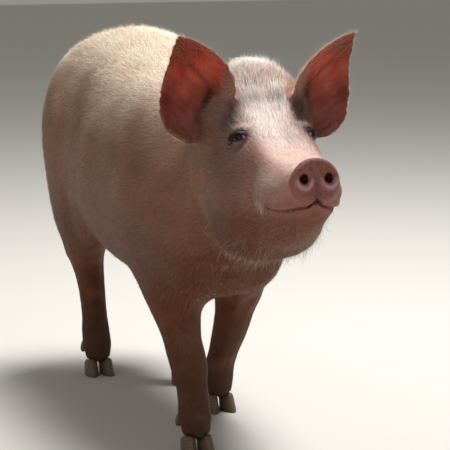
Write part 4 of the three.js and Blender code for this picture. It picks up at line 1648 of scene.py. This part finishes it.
@dataclass
class Coat:
    """The whole coat: short hair all over, and the longer hair that breaks the outline."""

    skin: Skin
    marks: Markings
    first_seed: int = 21
    growths = {
        "coat_body": Growth(165000, 21, 0.7, 8),
        "coat_head": Growth(56000, 21, 0.5, 9),
        "coat_legs": Growth(30000, 18, 0.42, 10),
        "coat_ears": Growth(14000, 13, 0.36, 12, own_light=True),
        "coat_fringe": Growth(17000, 22, 0.42, 26, 14, 0.3, 2, 14, own_light=True),
        "ear_fringe": Growth(4200, 16, 0.3, 26, 20, 0.4, 2, 12, 0.2, True),
        "chin_whiskers": Growth(900, 44, 0.36, 38, 20, 0.35, 3, 26, 0.35, True),
        "lip_whiskers": Growth(260, 40, 0.36, 34, 38, 0.4, 3, 55, 0.85, True),
        "brow_hair": Growth(520, 26, 0.34, 24, 24, 0.4, 3, 36, 0.0, True),
    }

    def build(self) -> list[bpy.types.Object]:
        """Makes every kind of hair and returns the pieces."""
        maps = self.make_maps()
        thick = self.densities()
        finish = Bristle().make()
        pieces = []
        for seed, (name, growth) in enumerate(self.growths.items(), self.first_seed):
            pieces += Hairs(name, growth, self.skin, maps, thick[name], finish, seed).build()
        return pieces

    def make_maps(self) -> dict[str, Array]:
        """What a hair reads at its root: place, lie, colour, scale and patch of the sheet."""
        m = self.marks
        corners = self.skin.thing.data.loops
        tris = rows(corners, "vertex_index", 1, np.int64).reshape(-1, 3)
        a, b, c = (m.places[tris[:, k]] for k in range(3))
        back = m.head[:, 0]
        near = rise(back, 330, 190) * (m.up > 260)
        scale = 1 - near * (0.62 - 0.30 * rise(back, 50, 220))
        scale -= 0.55 * rise(m.up, 410, 220)
        scale = np.where(m.share["ears"] > 0.5, 0.7, scale)
        return {
            "tris": tris,
            "areas": np.linalg.norm(np.cross(b - a, c - a), axis=1) / 2,
            "root": m.places,
            "out": m.out,
            "lie": m.lie(),
            "tint": m.hair_colour(),
            "scale": np.clip(scale, 0.12, 1)[:, None],
            "uv": m.unwrap(),
        }

    def densities(self) -> dict[str, Array]:
        """How thickly each kind of hair grows at each vertex."""
        m = self.marks
        s = m.share
        haired = np.clip(1 - m.bare(), 0, 1)
        back, side, up = m.sided.T
        upward = m.out[:, 2]
        head = np.clip(s["head"], 0, 1)
        body = np.clip(s["trunk"] + s["neck"], 0, 1)
        pad = head * spot(m.sided, (66, 46, 4), (30, 28, 22))
        top = rise(upward, 0.5, 0.9) * body
        top += 0.8 * rise(m.forward, -380, -440) * body
        poll = rise(up, 140, 175) * rise(side, 62, 40) * rise(back, 190, 240)
        under = rise(upward, -0.3, -0.8) * body
        rear = rise(m.out[:, 1], 0.2, 0.8) * m.legs * rise(m.up, 90, 160)
        rim = 0.35 * mound(m.across, 1.0, 0.04) + mound(m.across, 0.0, 0.09)
        rim *= m.ears * rise(m.along, 0.02, 0.1)
        margin = m.ears * mound(m.past_fur, -0.03, 0.06) * rise(m.along, 0.75, 0.5)
        margin += 0.25 * m.ears * rise(m.along, 0.70, 0.95)
        return {
            "coat_body": body * haired,
            "coat_head": (head + 0.7 * pad) * haired,
            "coat_legs": m.legs,
            "coat_ears": m.ears * haired,
            "coat_fringe": (top + 2.5 * poll + 0.7 * under) * haired + 1.5 * rear,
            "ear_fringe": rim + 1.5 * margin,
            "chin_whiskers": head * rise(upward, -0.1, -0.7) * rise(back, 30, 50),
            "lip_whiskers": head * spot(m.sided, (86, 56, -30), (10, 30, 6)),
            "brow_hair": sum(self.over_eye(socket) for socket in m.sockets),
        }

    def over_eye(self, socket: Socket) -> Array:
        """Where the long hairs over an eye grow."""
        x, y, depth = socket.local(self.marks.places).T
        close = (depth > -12) & (np.hypot(x, y) < 36)
        return mound(socket.beyond(x, y), 14, 3.4) * rise(y, 4, 9) * close


# ---------------------------------------------------------------- eyes and claws


@dataclass
class Eyeball:
    """One eye, a ball with a clear bulge over its iris."""

    socket: Socket
    bulge: float = 0.8  # mm
    bulge_end: float = 44.0  # degrees out from the pupil where the bulge ends
    ramp_end: float = 72.0  # degrees out from the pupil where the colour ramp ends
    oval: float = 1.25  # how much wider than high the pupil is
    gaze: tuple[float, float, float] = (0.02, -0.16, 0.96)  # ahead, upward and outward

    def build(self, finish: bpy.types.Material) -> bpy.types.Object:
        """Makes the eye where its solid is.

        Args:
            finish: The eyeball's material.

        Returns:
            The eye's object.
        """
        node = self.socket.name
        shape = bmesh.new()
        radius = self.socket.ball * MM
        bmesh.ops.create_uvsphere(shape, u_segments=64, v_segments=40, radius=radius)
        mesh = mesh_of(node + "_ball", shape)
        places = coords(mesh)
        gaze = unit(np.array(self.gaze) @ self.socket.ways)
        ahead = self.socket.ways[0]
        across = unit(ahead - (ahead @ gaze) * gaze)
        turn = np.array([across, np.cross(gaze, across), gaze])
        local = unit(places)
        angle = np.degrees(np.arccos(np.clip(local[:, 2], -1, 1)))
        swell = self.bulge * MM * rise(angle, self.bulge_end, 12)
        round_by = np.maximum(np.hypot(local[:, 0], local[:, 1]), 1e-6)
        wide = np.hypot(local[:, 0] / self.oval, local[:, 1]) / round_by
        out = angle / self.ramp_end * (1 + (wide - 1) * rise(angle, 34, 12))
        set_coords(mesh, (places + local * swell[:, None]) @ turn + middle_of(node))
        put(mesh, "iris", "FLOAT", np.clip(out, 0, 1))
        shade_smooth(mesh)
        mesh.materials.append(finish)
        thing = new_object(node + "_ball", mesh)
        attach(thing, BODY)
        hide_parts(node)
        return thing


@dataclass
class Foot:
    """The two claws and two dewclaws of one leg, rounded from their solids, the soles left flat."""

    leg: str
    nodes: dict
    sole: float = 0.4  # mm within which a corner lies on the floor
    crease: float = 0.9  # how sharp the edge round the sole stays
    levels: int = 2

    def build(self, finish: bpy.types.Material) -> bpy.types.Object:
        """Makes one piece for the foot's horn.

        Args:
            finish: The horn's material.

        Returns:
            The piece's object.
        """
        names = [n for n in sorted(self.nodes) if n.startswith(self.leg) and "claw" in n]
        joined = bmesh.new()
        for name in names:
            joined.from_mesh(self.nodes[name].data)
        bmesh.ops.remove_doubles(joined, verts=joined.verts, dist=SAME_PLACE)
        crease = joined.edges.layers.float.new("crease_edge")
        for edge in joined.edges:
            if self.low(edge) and not all(self.low(face) for face in edge.link_faces):
                edge[crease] = self.crease
        mesh = mesh_of(self.leg + "_claws", joined)
        shade_smooth(mesh)
        mesh.materials.append(finish)
        thing = new_object(self.leg + "_claws", mesh)
        smooth = thing.modifiers.new("rounding", "SUBSURF")
        smooth.levels = smooth.render_levels = self.levels
        bake_modifiers(thing)
        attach(thing, BODY)
        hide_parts(*names)
        return thing

    def low(self, element: bmesh.types.BMEdge | bmesh.types.BMFace) -> bool:
        """Whether an edge or a face lies on the floor."""
        return all(vert.co.z < self.sole * MM for vert in element.verts)


# ---------------------------------------------------------------- the whole


def main() -> None:
    """Builds the pig's pieces in order."""
    logging.basicConfig(level=logging.INFO, format="%(message)s")
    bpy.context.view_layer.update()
    centres = np.array([middle_of(name) for name in EYES])
    axes = Axes(eyes=tuple(centres.mean(0)))
    Studio(axes).build()
    skin = Skin(axes, frame["nodes"])
    hide = skin.build()
    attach(hide, BODY)
    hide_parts(*skin.flesh)
    marks = Markings(skin)
    marks.store()
    hide.data.materials.clear()
    hide.data.materials.append(Hide().make())
    log.info("skin done: %d faces", len(hide.data.polygons))
    for piece in Coat(skin, marks).build():
        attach(piece, BODY)
    wet = EyeGlass().make()
    for name in EYES:
        Eyeball(Socket(name, axes)).build(wet)
    log.info("eyes done")
    horn = Horn().make()
    for leg in LEGS:
        Foot(leg, frame["nodes"]).build(horn)
        log.info("%s claws done", leg)


if __name__ == "__main__":
    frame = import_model()
    main()
